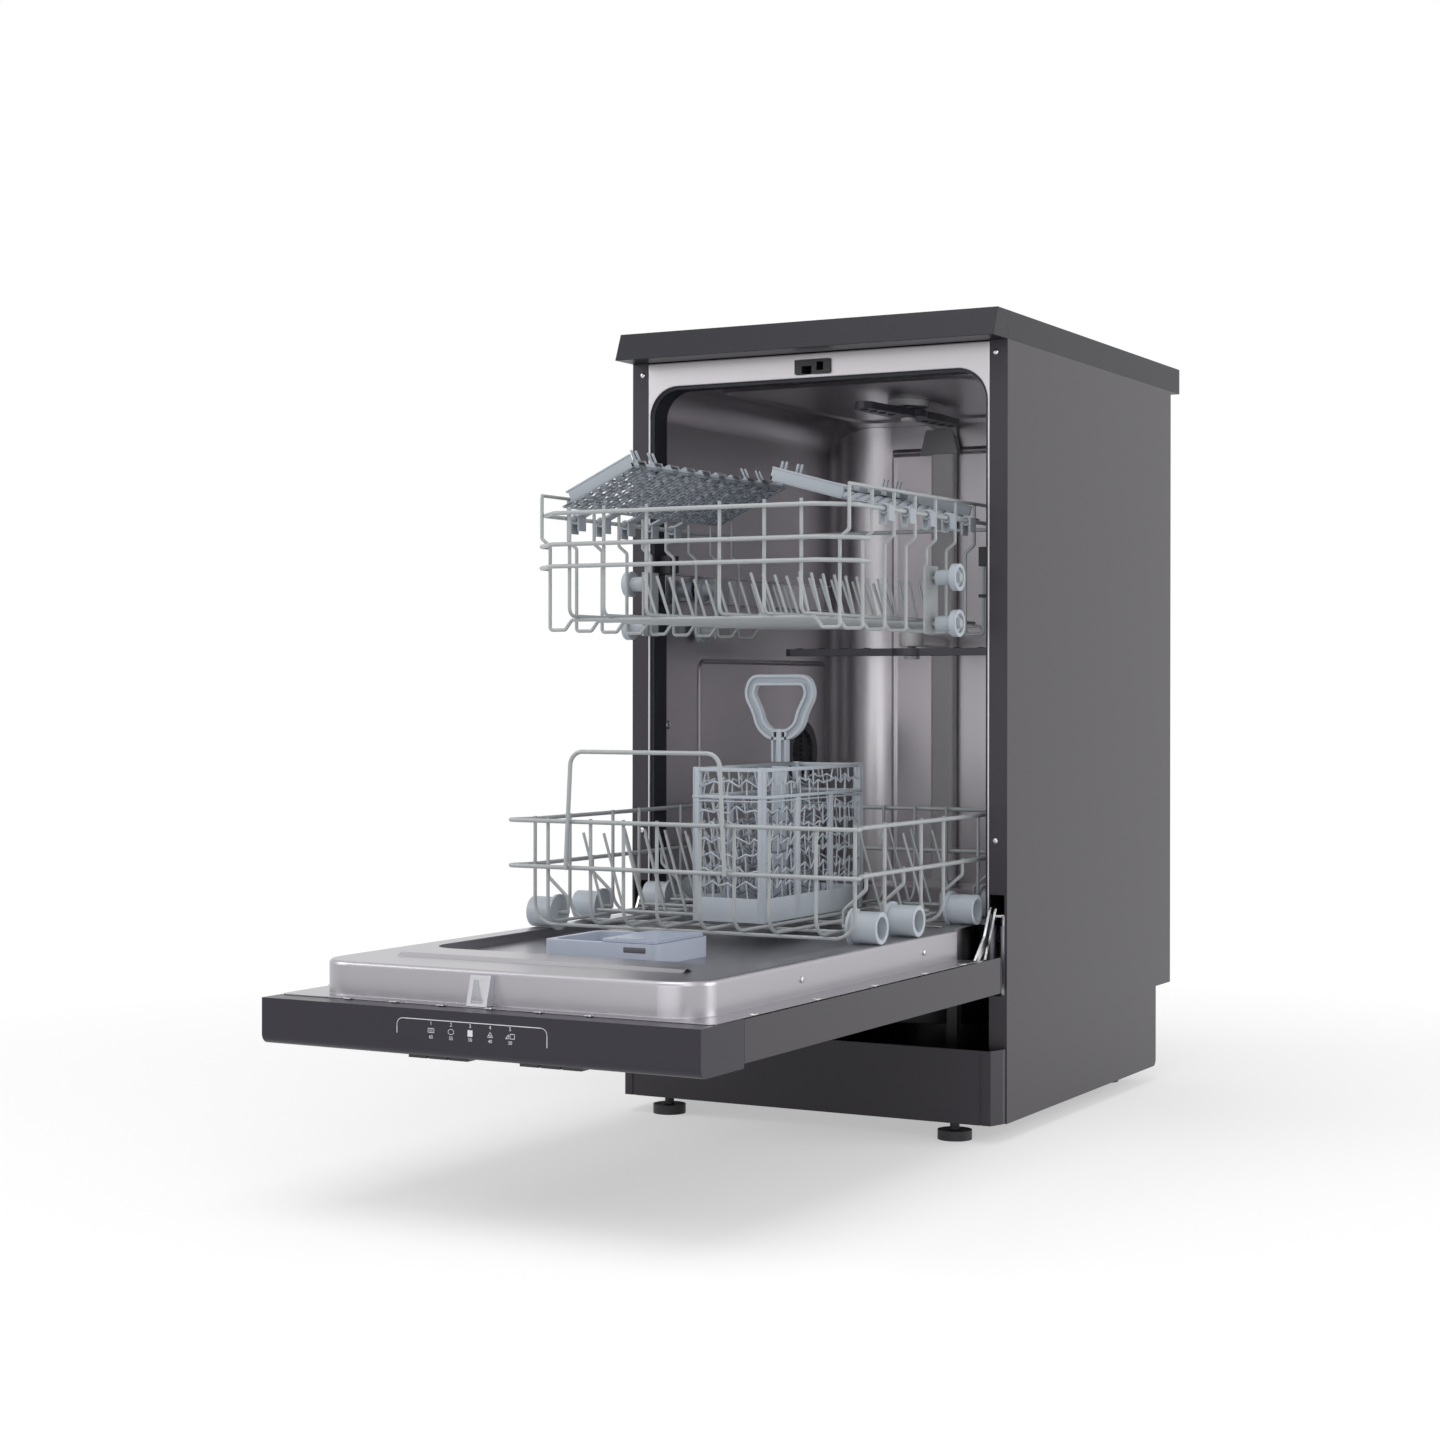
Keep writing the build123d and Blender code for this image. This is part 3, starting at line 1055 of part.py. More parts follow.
def cup_shelf(side, tilt, front):
    shelf = shelf_plate(front, SHELF_BACK)
    for n in range(SHELF_CLIPS):
        shelf += shelf_clip(UP_CROSS_FRONT + (n + 1.5) * UP_CROSS_PITCH)
    shelf = Pos(-UP_HALF, 0, UP_RIM_Z) * Rot(0, -tilt, 0) * shelf
    if side > 0:
        shelf = mirrored(shelf)
    write("cup_shelf_left" if side < 0 else "cup_shelf_right", shelf)


# Lower rack

def lower_rim(z):
    half = LOW_HALF
    front = LOW_FRONT + 20
    nose = LOW_FRONT - LOW_NOSE
    ear = LOW_EAR
    back = LOW_BACK - 24
    front_piece = rod([(-half, front, z), (-ear, nose + 2, z), (-ear + 14, nose, z), (ear - 14, nose, z),
                       (ear, nose + 2, z), (half, front, z)], RIM_R, 4)
    back_piece = rod([(-half, back, z), (-half, LOW_BACK, z), (half, LOW_BACK, z), (half, back, z)],
                     RIM_R, 12)
    sides = [rod([(x, front, z), (x, back, z)], RIM_R) for x in (-half, half)]
    return [front_piece, back_piece] + sides


def lower_cross(y):
    x = LOW_HALF - stack(RIM_R, WIRE_R)
    run = x - LOW_BEND_R - LOW_RUN_START
    right = rod([(x, y, LOW_RIM_Z + 3), (x, y, LOW_CROSS_Z), (run, y, LOW_CROSS_Z)], WIRE_R, LOW_BEND_R)
    floor = rod([(-run, y, LOW_CROSS_Z), (run, y, LOW_CROSS_Z)], WIRE_R)
    return [right, mirrored(right), floor]


def lower_long(x):
    z = LOW_LONG_Z
    top = LOW_RIM_Z + 3
    y0 = LOW_FRONT - LOW_NOSE + stack(RIM_R, WIRE_R)
    y1 = LOW_BACK - stack(RIM_R, WIRE_R)
    start = y0 + LOW_BEND_R + LOW_RUN_START
    end = y1 - LOW_BEND_R - LOW_RUN_START
    front = rod([(x, y0, top), (x, y0, z), (x, start, z)], WIRE_R, LOW_LONG_BEND_R)
    back = rod([(x, y1, top), (x, y1, z), (x, end, z)], WIRE_R, LOW_LONG_BEND_R)
    return [front, back, rod([(x, start, z), (x, end, z)], WIRE_R)]


def lower_tines(y, xs):
    z = LOW_LONG_Z + stack(WIRE_R, WIRE_R)
    carrier = rod([(xs[0] - 6, y, z), (xs[-1] + 6, y, z)], WIRE_R)
    foot_z = z + WIRE_R + WIRE_GAP
    tines = [rod([(x, y, foot_z), (x - LOW_TINE_LEAN, y, z + LOW_TINE_H)], TINE_R) for x in xs]
    return [carrier] + tines


def tine_row(start, end):
    """Tine places from start, at the pitch, no further than end."""
    return [start + LOW_TINE_PITCH * n for n in range(int((end - start) / LOW_TINE_PITCH) + 1)]


def axle(side, y):
    """A wheel pin with its head, and the wire that hangs it from the side of the rack."""
    hang_x = LOW_HALF - stack(RIM_R, WIRE_R)
    pin = disc_x(AXLE_R, AXLE_ROOT, AXLE_HEAD_X1, y, AXLE_Z)
    head = disc_x(AXLE_R + 2.5, AXLE_HEAD_X0, AXLE_HEAD_X1, y, AXLE_Z)
    hanger = rod([(AXLE_ROOT, y, AXLE_Z - 1), (AXLE_ROOT, y, AXLE_Z + 15.2), (hang_x, y, LOW_HOOP_Z - 14),
                  (hang_x, y, LOW_HOOP_Z + 3)], WIRE_R, 6)
    piece = pin + head + hanger
    return piece if side > 0 else mirrored(piece)


def lower_rack_wires():
    pieces = lower_rim(LOW_RIM_Z)
    pieces += lower_rim(LOW_HOOP_Z)
    for y in LOW_CROSS_Y:
        pieces += lower_cross(y)
    for x in LOW_LONG_X:
        pieces += lower_long(x)
        pieces += lower_long(-x)
    left_row = tine_row(29 - LOW_HALF, BASKET_X0 - 11)
    right_row = tine_row(BASKET_X1 + 32, LOW_HALF - 34)
    for y in LOW_TINE_Y:
        pieces += lower_tines(y, left_row)
    for y in LOW_TINE_Y[2:]:
        pieces += lower_tines(y, right_row)
    bail_y = LOW_FRONT - LOW_NOSE - stack(RIM_R, RIM_R)
    x0, x1 = BAIL_X
    foot_z = LOW_HOOP_Z - 2
    pieces.append(rod([(x0, bail_y, foot_z), (x0 + 6, bail_y, BAIL_Z), (x1 - 6, bail_y, BAIL_Z),
                       (x1, bail_y, foot_z)], RIM_R, 14))
    for y in WHEEL_Y:
        for side in (-1, 1):
            pieces.append(axle(side, y))
    write("lower_rack_wires", *pieces)


def lower_wheels(n, y):
    wheel = disc_x(WHEEL_R, WHEEL_INNER_X, WHEEL_OUTER_X, y, AXLE_Z)
    wheel += disc_x(WHEEL_FLANGE_R, WHEEL_INNER_X - WHEEL_FLANGE_T, WHEEL_INNER_X, y, AXLE_Z)
    wheel -= disc_x(WHEEL_BORE_R, WHEEL_OUTER_X - WHEEL_CUP_DEPTH, WHEEL_OUTER_X + 1, y, AXLE_Z)
    bore = (CLIP_BUSH_R if y == WHEEL_Y[-1] else AXLE_R) + AXLE_CLEAR
    wheel -= disc_x(bore, WHEEL_INNER_X - WHEEL_FLANGE_T - 1, WHEEL_OUTER_X + 1, y, AXLE_Z)
    write("lower_wheels_%d" % n, wheel, mirrored(wheel))


def rear_wheel_clips():
    y = WHEEL_Y[-1]
    start = AXLE_ROOT + WIRE_R + 0.7
    clip = disc_x(CLIP_BUSH_R, start, AXLE_HEAD_X0 - 0.4, y, AXLE_Z)
    clip += disc_x(CLIP_BUSH_R + 4, start, WHEEL_INNER_X - WHEEL_FLANGE_T - 0.4, y, AXLE_Z)
    clip -= disc_x(AXLE_R + AXLE_CLEAR, AXLE_ROOT, WHEEL_OUTER_X, y, AXLE_Z)
    write("rear_wheel_clips", clip, mirrored(clip))


# Cutlery basket

def basket_wall(length, height, seed):
    """A lattice panel in the XZ plane: staggered slanted slots of uneven size."""
    edge = 4
    face = Pos(length / 2, height / 2) * Rectangle(length, height)
    cols = int((length - 2 * edge) / BASKET_CELL)
    rows = max(1, int((height - 2 * edge) / BASKET_CELL))
    openings = []
    for i in range(cols):
        for j in range(rows):
            turn = 35 * sin(2.1 * i + 1.3 * j + seed)
            size = BASKET_CELL * (0.64 + 0.1 * cos(1.7 * i - 2.3 * j + seed))
            x = edge + (i + 0.5) * (length - 2 * edge) / cols
            z = edge + (j + 0.5) * (height - 2 * edge) / rows
            openings.append(Pos(x, z) * Rot(0, 0, turn) * Rectangle(size, size * 0.95))
    return extrude(Plane.XZ * (face - openings), BASKET_T / 2, both=True)


def basket_frame(z0, z1, proud=0.0):
    """A ring round the basket as thick as its wall, standing proud of it if asked."""
    t = BASKET_T
    ring = block(BASKET_X0 - proud, BASKET_X1 + proud, BASKET_Y0 - proud, BASKET_Y1 + proud, z0, z1)
    return ring - block(BASKET_X0 + t, BASKET_X1 - t, BASKET_Y0 + t, BASKET_Y1 - t, z0 - 1, z1 + 1)


def basket_handle(x, y):
    """The flat closed loop on top of the stem, which stands across the basket and is wide at the top."""
    low = BASKET_Z1 + BASKET_STEM_H - BASKET_HANDLE_W - 1
    top = BASKET_HANDLE_TOP
    wide = BASKET_HANDLE_HALF
    half = [(0.27 * wide, low), (0.56 * wide, low + 9), (0.71 * wide, low + 24), (wide, low + 46),
            (0.8 * wide, top)]
    outline = [(x + dx, z) for dx, z in half] + [(x - dx, z) for dx, z in reversed(half)]
    outer = Plane.XZ.offset(-y) * make_face(Polyline(*outline, close=True))
    outer = fillet(outer.vertices(), 5)
    inner = offset(outer, amount=-BASKET_HANDLE_W)
    return extrude(outer - inner, BASKET_HANDLE_T / 2, both=True)


def cutlery_basket():
    t = BASKET_T
    long_x = BASKET_X1 - BASKET_X0
    long_y = BASKET_Y1 - BASKET_Y0
    low0 = BASKET_Z0 + BASKET_SOLID_H
    basket = block(BASKET_X0, BASKET_X1, BASKET_Y0, BASKET_Y1, BASKET_Z0, BASKET_Z0 + t)
    basket += basket_frame(BASKET_Z0, low0)
    basket += basket_frame(BASKET_BAND_Z - 2, BASKET_BAND_Z + 3, 1)
    basket += basket_frame(BASKET_Z1 - 4, BASKET_Z1)
    for z0, z1 in ((low0 - 4, BASKET_BAND_Z), (BASKET_BAND_Z, BASKET_Z1)):
        end = basket_wall(long_x, z1 - z0, z0)
        basket += Pos(BASKET_X0, BASKET_Y0 + t / 2, z0) * end
        basket += Pos(BASKET_X0, BASKET_Y1 - t / 2, z0) * end
        side = Rot(0, 0, 90) * basket_wall(long_y, z1 - z0, z0 + 1)
        basket += Pos(BASKET_X0 + t / 2, BASKET_Y0, z0) * side
        basket += Pos(BASKET_X1 - t / 2, BASKET_Y0, z0) * side
    middle_x = (BASKET_X0 + BASKET_X1) / 2
    middle_y = (BASKET_Y0 + BASKET_Y1) / 2
    for y, top in ((BASKET_Y0 + long_y / 3, BASKET_BAND_Z), (middle_y, BASKET_Z1 - 2),
                   (BASKET_Y0 + 2 * long_y / 3, BASKET_BAND_Z)):
        basket += block(BASKET_X0 + t, BASKET_X1 - t, y - 1, y + 1, BASKET_Z0 + t, top)
    basket += block(middle_x - BASKET_STEM_HALF, middle_x + BASKET_STEM_HALF, middle_y - BASKET_HANDLE_T / 2,
                    middle_y + BASKET_HANDLE_T / 2, BASKET_Z0 + t, BASKET_Z1 + BASKET_STEM_H - 3)
    basket += basket_handle(middle_x, middle_y)
    write("cutlery_basket", basket)


def build():
    os.makedirs("parts", exist_ok=True)
    worktop()
    side_panel(-1)
    side_panel(1)
    rear_panel()
    tub_shell()
    tub_floor()
    door_gasket()
    base_tray()
    kick_plate()
    sump_housing()
    circulation_pump()
    drain_pump()
    softener_tank()
    salt_cap()
    filter_cup()
    inlet_valve()
    counterweight()
    air_break()
    foot(-FOOT_X, FOOT_FRONT_Y, "foot_front_left")
    foot(FOOT_X, FOOT_FRONT_Y, "foot_front_right")
    foot(-FOOT_X, FOOT_REAR_Y, "foot_rear_left")
    foot(FOOT_X, FOOT_REAR_Y, "foot_rear_right")
    upper_rails()
    rail_end_caps()
    feed_pipe()
    spray_arm(LOWER_ARM_REACH, LOWER_ARM_Z, LOWER_ARM_T, ARM_POST_R + ARM_GAP, 22, ARM_Y, 35,
              "lower_spray_arm")
    spray_arm(MIDDLE_ARM_REACH, MIDDLE_ARM_Z, MIDDLE_ARM_T, ARM_PIN_R + ARM_GAP, 24, ARM_Y, 0,
              "middle_spray_arm")
    spray_arm(CEILING_ARM_REACH, CEILING_ARM_Z, CEILING_ARM_T, ARM_PIN_R + ARM_GAP, 22, CEILING_ARM_Y, 86.5,
              "ceiling_spray_arm")
    door_lock()
    hinge_brackets()
    hinge_arms()
    door_springs()
    door_outer_panel()
    control_panel()
    control_board()
    for n, x in enumerate(button_places(), start=1):
        button(n, x)
    door_liner()
    latch_strike()
    dispenser_body()
    dispenser_lid()
    dispenser_latch()
    upper_rack_wires()
    for name, y in roller_places():
        upper_rollers("upper_rollers_%s_high" % name, y, RAIL_Z)
        upper_rollers("upper_rollers_%s_low" % name, y, ROLLER_LOW_Z)
    cup_shelf(-1, SHELF_LEFT_TILT, SHELF_FRONT)
    cup_shelf(1, SHELF_RIGHT_TILT, SHELF_FRONT + SHELF_RIGHT_SHORT)
    lower_rack_wires()
    for n, y in enumerate(WHEEL_Y, start=1):
        lower_wheels(n, y)
    rear_wheel_clips()
    cutlery_basket()


build()
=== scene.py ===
import bpy, bmesh, json
from math import radians, sin, cos, pi, hypot
from mathutils import Vector, Matrix, noise


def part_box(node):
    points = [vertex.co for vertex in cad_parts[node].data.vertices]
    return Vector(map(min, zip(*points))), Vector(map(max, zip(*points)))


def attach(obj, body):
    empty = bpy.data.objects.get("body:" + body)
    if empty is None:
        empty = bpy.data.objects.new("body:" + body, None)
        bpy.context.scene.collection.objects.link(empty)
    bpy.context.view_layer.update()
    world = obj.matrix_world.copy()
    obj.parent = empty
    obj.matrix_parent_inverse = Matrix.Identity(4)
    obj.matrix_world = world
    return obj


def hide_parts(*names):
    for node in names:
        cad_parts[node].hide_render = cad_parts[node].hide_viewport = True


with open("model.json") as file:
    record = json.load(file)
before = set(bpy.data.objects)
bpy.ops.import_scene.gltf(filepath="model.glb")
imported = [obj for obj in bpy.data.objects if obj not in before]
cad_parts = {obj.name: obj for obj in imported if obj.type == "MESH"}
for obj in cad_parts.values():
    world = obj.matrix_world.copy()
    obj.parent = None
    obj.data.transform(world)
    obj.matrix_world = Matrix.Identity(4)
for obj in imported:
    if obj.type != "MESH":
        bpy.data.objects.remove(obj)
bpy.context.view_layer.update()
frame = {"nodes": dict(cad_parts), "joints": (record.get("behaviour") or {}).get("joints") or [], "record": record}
nodes = frame["nodes"]


# Objects, meshes and shader nodes

def placed(name, data):
    """A new object in the scene that holds the data."""
    obj = bpy.data.objects.new(name, data)
    bpy.context.scene.collection.objects.link(obj)
    return obj


def mesh_from(name, bm):
    mesh = bpy.data.meshes.new(name)
    bm.to_mesh(mesh)
    bm.free()
    return mesh


def settled_mesh(draft):
    """The mesh of a draft object, with its modifiers and its place worked in. The draft is removed."""
    bpy.context.view_layer.update()
    mesh = bpy.data.meshes.new_from_object(draft.evaluated_get(bpy.context.evaluated_depsgraph_get()))
    mesh.transform(draft.matrix_world)
    bpy.data.objects.remove(draft)
    return mesh


def math_node(tree, operation, *values):
    """The output of a maths node. Each value is a number or the output of another node."""
    node = tree.nodes.new("ShaderNodeMath")
    node.operation = operation
    for socket, value in zip(node.inputs, values):
        if isinstance(value, (int, float)):
            socket.default_value = value
        else:
            tree.links.new(value, socket)
    return node.outputs[0]


# Camera, solved from the straight edges of the cabinet and the open door

PHOTO_PX = 1440
FOCAL_PX = 2541.7
HORIZON_PX = 690.5
SENSOR_MM = 36.0
CAMERA_PLACE = (1.2181, -2.410, 0.467)
CAMERA_YAW = 28.453
CAMERA_ROLL = 0.078


def camera():
    data = bpy.data.cameras.new("view")
    data.sensor_width = SENSOR_MM
    data.lens = SENSOR_MM * FOCAL_PX / PHOTO_PX
    data.shift_y = -(PHOTO_PX / 2 - HORIZON_PX) / PHOTO_PX
    eye = placed("view", data)
    turn = Matrix.Rotation(radians(CAMERA_YAW), 4, "Z") @ Matrix.Rotation(radians(90), 4, "X")
    eye.matrix_world = Matrix.Translation(CAMERA_PLACE) @ turn @ Matrix.Rotation(radians(CAMERA_ROLL), 4, "Z")
    bpy.context.scene.camera = eye


# Light and floor. Each lamp has its name, place, aim, size and power.

WHITE = (1, 1, 1, 1)
FLOOR_PAINT = (0.93, 0.93, 0.93, 1)
FLOOR_HALF = 9.0
FLOOR_DROP = 0.0002
FLOOR_NEAR = 0.45
FLOOR_FAR = 1.5
FLOOR_GLOW = 0.45
WORLD_LEVEL = 0.5
LAMPS = (
    ("front_left", (-2.5, -1.7, 1.9), (0, -0.1, 0.45), (1.6, 1.6), 26),
    ("front_right", (2.0, -1.9, 1.5), (0.1, 0, 0.4), (1.2, 1.6), 12),
    ("right_side", (2.4, 1.0, 0.9), (0.2, 0.3, 0.4), (1.4, 1.8), 24),
    ("overhead", (0.0, -0.9, 2.6), (0, -0.2, 0.4), (2.0, 2.0), 30),
    ("low_front", (0.3, -2.8, 0.3), (0, 0, 0.4), (2.4, 0.6), 7),
)


def soft_light(name, place, aim, size, power):
    data = bpy.data.lights.new(name, "AREA")
    data.shape = "RECTANGLE"
    data.size, data.size_y = size
    data.energy = power
    lamp = placed(name, data)
    lamp.location = place
    lamp.rotation_euler = (Vector(aim) - Vector(place)).to_track_quat("-Z", "Y").to_euler()
    lamp.visible_camera = False


def shown_rays(tree):
    """1 for what the camera sees, straight or in metal and glass, and 0 for light on the object."""
    path = tree.nodes.new("ShaderNodeLightPath")
    shown = path.outputs["Is Camera Ray"]
    for ray in ("Is Glossy Ray", "Is Transmission Ray"):
        shown = math_node(tree, "MAXIMUM", shown, path.outputs[ray])
    return shown


def floor():
    """A plain pale floor that takes the shadow of the object and turns plain white further away."""
    bm = bmesh.new()
    bmesh.ops.create_grid(bm, x_segments=1, y_segments=1, size=FLOOR_HALF)
    mesh = mesh_from("floor", bm)
    pale = bpy.data.materials.new("floor_paint")
    pale.use_nodes = True
    tree = pale.node_tree
    link = tree.links.new
    body = tree.nodes["Principled BSDF"]
    body.inputs["Base Color"].default_value = FLOOR_PAINT
    body.inputs["Roughness"].default_value = 1.0
    body.inputs["Specular IOR Level"].default_value = 0.0
    coords = tree.nodes.new("ShaderNodeTexCoord")
    reach = tree.nodes.new("ShaderNodeVectorMath")
    reach.operation = "LENGTH"
    fade = tree.nodes.new("ShaderNodeMapRange")
    fade.inputs["From Min"].default_value = FLOOR_NEAR
    fade.inputs["From Max"].default_value = FLOOR_FAR
    fade.inputs["To Min"].default_value = FLOOR_GLOW
    white = tree.nodes.new("ShaderNodeEmission")
    mix = tree.nodes.new("ShaderNodeMixShader")
    link(coords.outputs["Object"], reach.inputs[0])
    link(reach.outputs["Value"], fade.inputs["Value"])
    link(math_node(tree, "MULTIPLY", fade.outputs[0], shown_rays(tree)), mix.inputs[0])
    link(body.outputs[0], mix.inputs[1])
    link(white.outputs[0], mix.inputs[2])
    link(mix.outputs[0], tree.nodes["Material Output"].inputs["Surface"])
    mesh.materials.append(pale)
    ground = placed("floor", mesh)
    ground.location = (0, 0, -FLOOR_DROP)


def studio():
    """A plain pale room: white behind the object and in its mirrors, and soft even light on it."""
    world = bpy.data.worlds.new("room")
    bpy.context.scene.world = world
    world.use_nodes = True
    tree = world.node_tree
    tree.nodes.clear()
    link = tree.links.new
    out = tree.nodes.new("ShaderNodeOutputWorld")
    mix = tree.nodes.new("ShaderNodeMixShader")
    link(shown_rays(tree), mix.inputs[0])
    for socket, level in ((1, WORLD_LEVEL), (2, 1.0)):
        sky = tree.nodes.new("ShaderNodeBackground")
        sky.inputs["Color"].default_value = WHITE
        sky.inputs["Strength"].default_value = level
        link(sky.outputs[0], mix.inputs[socket])
    link(mix.outputs[0], out.inputs[0])
    for lamp in LAMPS:
        soft_light(*lamp)
    bpy.context.scene.view_settings.view_transform = "Standard"


# Materials. Every finish is worked out from noise in the row frame, so its scale is real.

FINE_DETAIL = 4
BROAD_SCALE, BROAD_DETAIL = 5, 3
SPECK_SCALE = 0.4
LEAST_ROUGH = 0.02
RELIEF_DEPTH = 0.001
EDGE_SAMPLES = 4


def tint(colour, level, lift=0.0):
    return [min(1, c * level + lift) for c in colour] + [1]


def finish(name, colour, rough, metal, grain, vary, bump, stretch=(1, 1, 1), rough_vary=0.06, spec=0.5,
           speck=0.0, edge=0.0):
    """A surface with fine grain: its colour and gloss vary a little, and a bump gives the texture."""
    material = bpy.data.materials.new(name)
    material.use_nodes = True
    tree = material.node_tree
    link = tree.links.new
    body = tree.nodes["Principled BSDF"]
    coords = tree.nodes.new("ShaderNodeTexCoord")
    place = tree.nodes.new("ShaderNodeMapping")
    place.inputs["Scale"].default_value = stretch
    fine = tree.nodes.new("ShaderNodeTexNoise")
    fine.inputs["Scale"].default_value = grain
    fine.inputs["Detail"].default_value = FINE_DETAIL
    broad = tree.nodes.new("ShaderNodeTexNoise")
    broad.inputs["Scale"].default_value = BROAD_SCALE
    broad.inputs["Detail"].default_value = BROAD_DETAIL
    link(coords.outputs["Object"], place.inputs[0])
    link(place.outputs[0], fine.inputs["Vector"])
    link(coords.outputs["Object"], broad.inputs["Vector"])
    both = math_node(tree, "ADD", fine.outputs["Fac"], broad.outputs["Fac"])
    blend = tree.nodes.new("ShaderNodeMixRGB")
    blend.inputs[1].default_value = tint(colour, 1 - vary)
    blend.inputs[2].default_value = tint(colour, 1 + vary)
    link(math_node(tree, "MULTIPLY", both, 0.5), blend.inputs[0])
    colour_out = blend.outputs[0]
    if speck > 0:
        spots = tree.nodes.new("ShaderNodeTexVoronoi")
        spots.inputs["Scale"].default_value = grain * SPECK_SCALE
        link(coords.outputs["Object"], spots.inputs["Vector"])
        dots = tree.nodes.new("ShaderNodeMixRGB")
        dots.inputs[2].default_value = tint(colour, 1.8, 0.02)
        link(math_node(tree, "LESS_THAN", spots.outputs["Distance"], speck), dots.inputs[0])
        link(colour_out, dots.inputs[1])
        colour_out = dots.outputs[0]
    link(colour_out, body.inputs["Base Color"])
    gloss = tree.nodes.new("ShaderNodeMapRange")
    gloss.inputs["To Min"].default_value = max(LEAST_ROUGH, rough - rough_vary)
    gloss.inputs["To Max"].default_value = min(1.0, rough + rough_vary)
    link(fine.outputs["Fac"], gloss.inputs["Value"])
    link(gloss.outputs[0], body.inputs["Roughness"])
    body.inputs["Metallic"].default_value = metal
    body.inputs["Specular IOR Level"].default_value = spec
    relief = tree.nodes.new("ShaderNodeBump")
    relief.inputs["Strength"].default_value = bump
    relief.inputs["Distance"].default_value = RELIEF_DEPTH
    link(fine.outputs["Fac"], relief.inputs["Height"])
    if edge > 0:
        soften = tree.nodes.new("ShaderNodeBevel")
        soften.inputs["Radius"].default_value = edge
        soften.samples = EDGE_SAMPLES
        link(soften.outputs[0], relief.inputs["Normal"])
    link(relief.outputs[0], body.inputs["Normal"])
    return material


def srgb(*values):
    """Linear colour from display values of 0 to 255."""
    out = []
    for v in values:
        v = v / 255
        out.append(v / 12.92 if v <= 0.04045 else ((v + 0.055) / 1.055) ** 2.4)
    return out


# Display colour, roughness, metal, grain, change of colour, bump, and what else a finish has
ALONG_Z = (1, 1, 0.05)
ALONG_X = (0.05, 1, 1)
FINISHES = {
    "black_enamel": ((54, 51, 57), 0.34, 0.0, 1400, 0.05, 0.02, dict(spec=0.3, edge=0.001)),
    "rear_enamel": ((62, 60, 64), 0.42, 0.0, 900, 0.05, 0.03, {}),
    "laminate": ((31, 31, 38), 0.40, 0.0, 1500, 0.1, 0.04, dict(spec=0.22, speck=0.1, edge=0.0012)),
    "tub_steel": ((196, 193, 197), 0.30, 1.0, 1600, 0.025, 0.004,
                  dict(stretch=ALONG_Z, rough_vary=0.03, edge=0.002)),
    "liner_steel": ((168, 166, 171), 0.30, 1.0, 1600, 0.02, 0.002,
                    dict(stretch=ALONG_X, rough_vary=0.03, edge=0.0018)),
    "bright_steel": ((200, 200, 204), 0.16, 1.0, 1200, 0.04, 0.01, dict(rough_vary=0.03, edge=0.0005)),
    "spring_steel": ((150, 150, 155), 0.3, 1.0, 900, 0.06, 0.03, {}),
    "rubber": ((22, 25, 34), 0.55, 0.0, 900, 0.1, 0.05, {}),
    "black_plastic": ((30, 30, 36), 0.42, 0.0, 1500, 0.08, 0.06, dict(edge=0.0008)),
    "fascia": ((46, 44, 52), 0.32, 0.0, 1800, 0.05, 0.015, dict(spec=0.25, edge=0.001)),
    "arm_plastic": ((78, 79, 86), 0.4, 0.0, 1200, 0.08, 0.05, dict(edge=0.001)),
    "duct_plastic": ((146, 145, 150), 0.34, 0.0, 1200, 0.05, 0.04, dict(edge=0.001)),
    # Feed pipe: pale plastic, made paler still as painted light against the shade inside the tub.
    "riser_plastic_lightened": ((214, 213, 216), 0.34, 0.0, 1200, 0.05, 0.03, dict(edge=0.001)),
    "white_plastic": ((205, 205, 202), 0.45, 0.0, 1200, 0.04, 0.04, dict(edge=0.001)),
    "concrete": ((150, 148, 142), 0.9, 0.0, 120, 0.25, 0.5, dict(speck=0.2)),
    "board": ((30, 96, 60), 0.4, 0.0, 600, 0.15, 0.05, {}),
    "wire": ((156, 160, 162), 0.32, 0.0, 1500, 0.05, 0.03, {}),
    "grey_plastic": ((166, 173, 181), 0.42, 0.0, 1400, 0.05, 0.04, dict(edge=0.0006)),
    "shelf_plastic": ((150, 157, 165), 0.4, 0.0, 1400, 0.05, 0.04, dict(edge=0.0006)),
    # A darker copy of the shelf plastic: painted shade for the shelf plates and the basket dividers.
    "painted_shade_net": ((104, 109, 119), 0.42, 0.0, 1400, 0.08, 0.05, {}),
    "dispenser": ((166, 173, 188), 0.38, 0.0, 1400, 0.04, 0.04, dict(edge=0.001)),
    "dispenser_lid": ((156, 164, 182), 0.32, 0.0, 1400, 0.04, 0.03, dict(edge=0.001)),
    "button": ((40, 40, 46), 0.36, 0.0, 1300, 0.06, 0.05, dict(edge=0.0005)),
    "foot": ((28, 28, 33), 0.5, 0.0, 1300, 0.08, 0.08, {}),
    "print": ((206, 206, 210), 0.5, 0.0, 1300, 0.03, 0.01, {}),
}
LOOKS = {name: finish(name, srgb(*row[0]), *row[1:-1], **row[-1]) for name, row in FINISHES.items()}

NODE_LOOK = {
    "worktop": "laminate", "rear_panel": "rear_enamel", "tub_shell": "tub_steel", "tub_floor": "tub_steel",
    "door_liner": "liner_steel", "hinge_arms": "bright_steel", "latch_strike": "bright_steel",
    "hinge_brackets": "bright_steel", "upper_rails": "bright_steel", "door_springs": "spring_steel",
    "door_gasket": "rubber", "control_panel": "fascia", "counterweight": "concrete", "control_board": "board",
    "dispenser_body": "dispenser", "dispenser_lid": "dispenser_lid", "dispenser_latch": "grey_plastic",
    "cup_shelf_left": "shelf_plastic", "cup_shelf_right": "shelf_plastic", "feed_pipe": "riser_plastic_lightened",
}
SLOT_LOOK = {
    "black_enamel": "black_enamel", "black_plastic": "black_plastic", "dark_grey_plastic": "arm_plastic",
    "white_plastic": "white_plastic", "coated_wire": "wire", "light_grey_plastic": "grey_plastic",
    "button_grey": "button", "foot_plastic": "foot",
}
CAD_SMOOTH, SCENE_SMOOTH = 35, 40


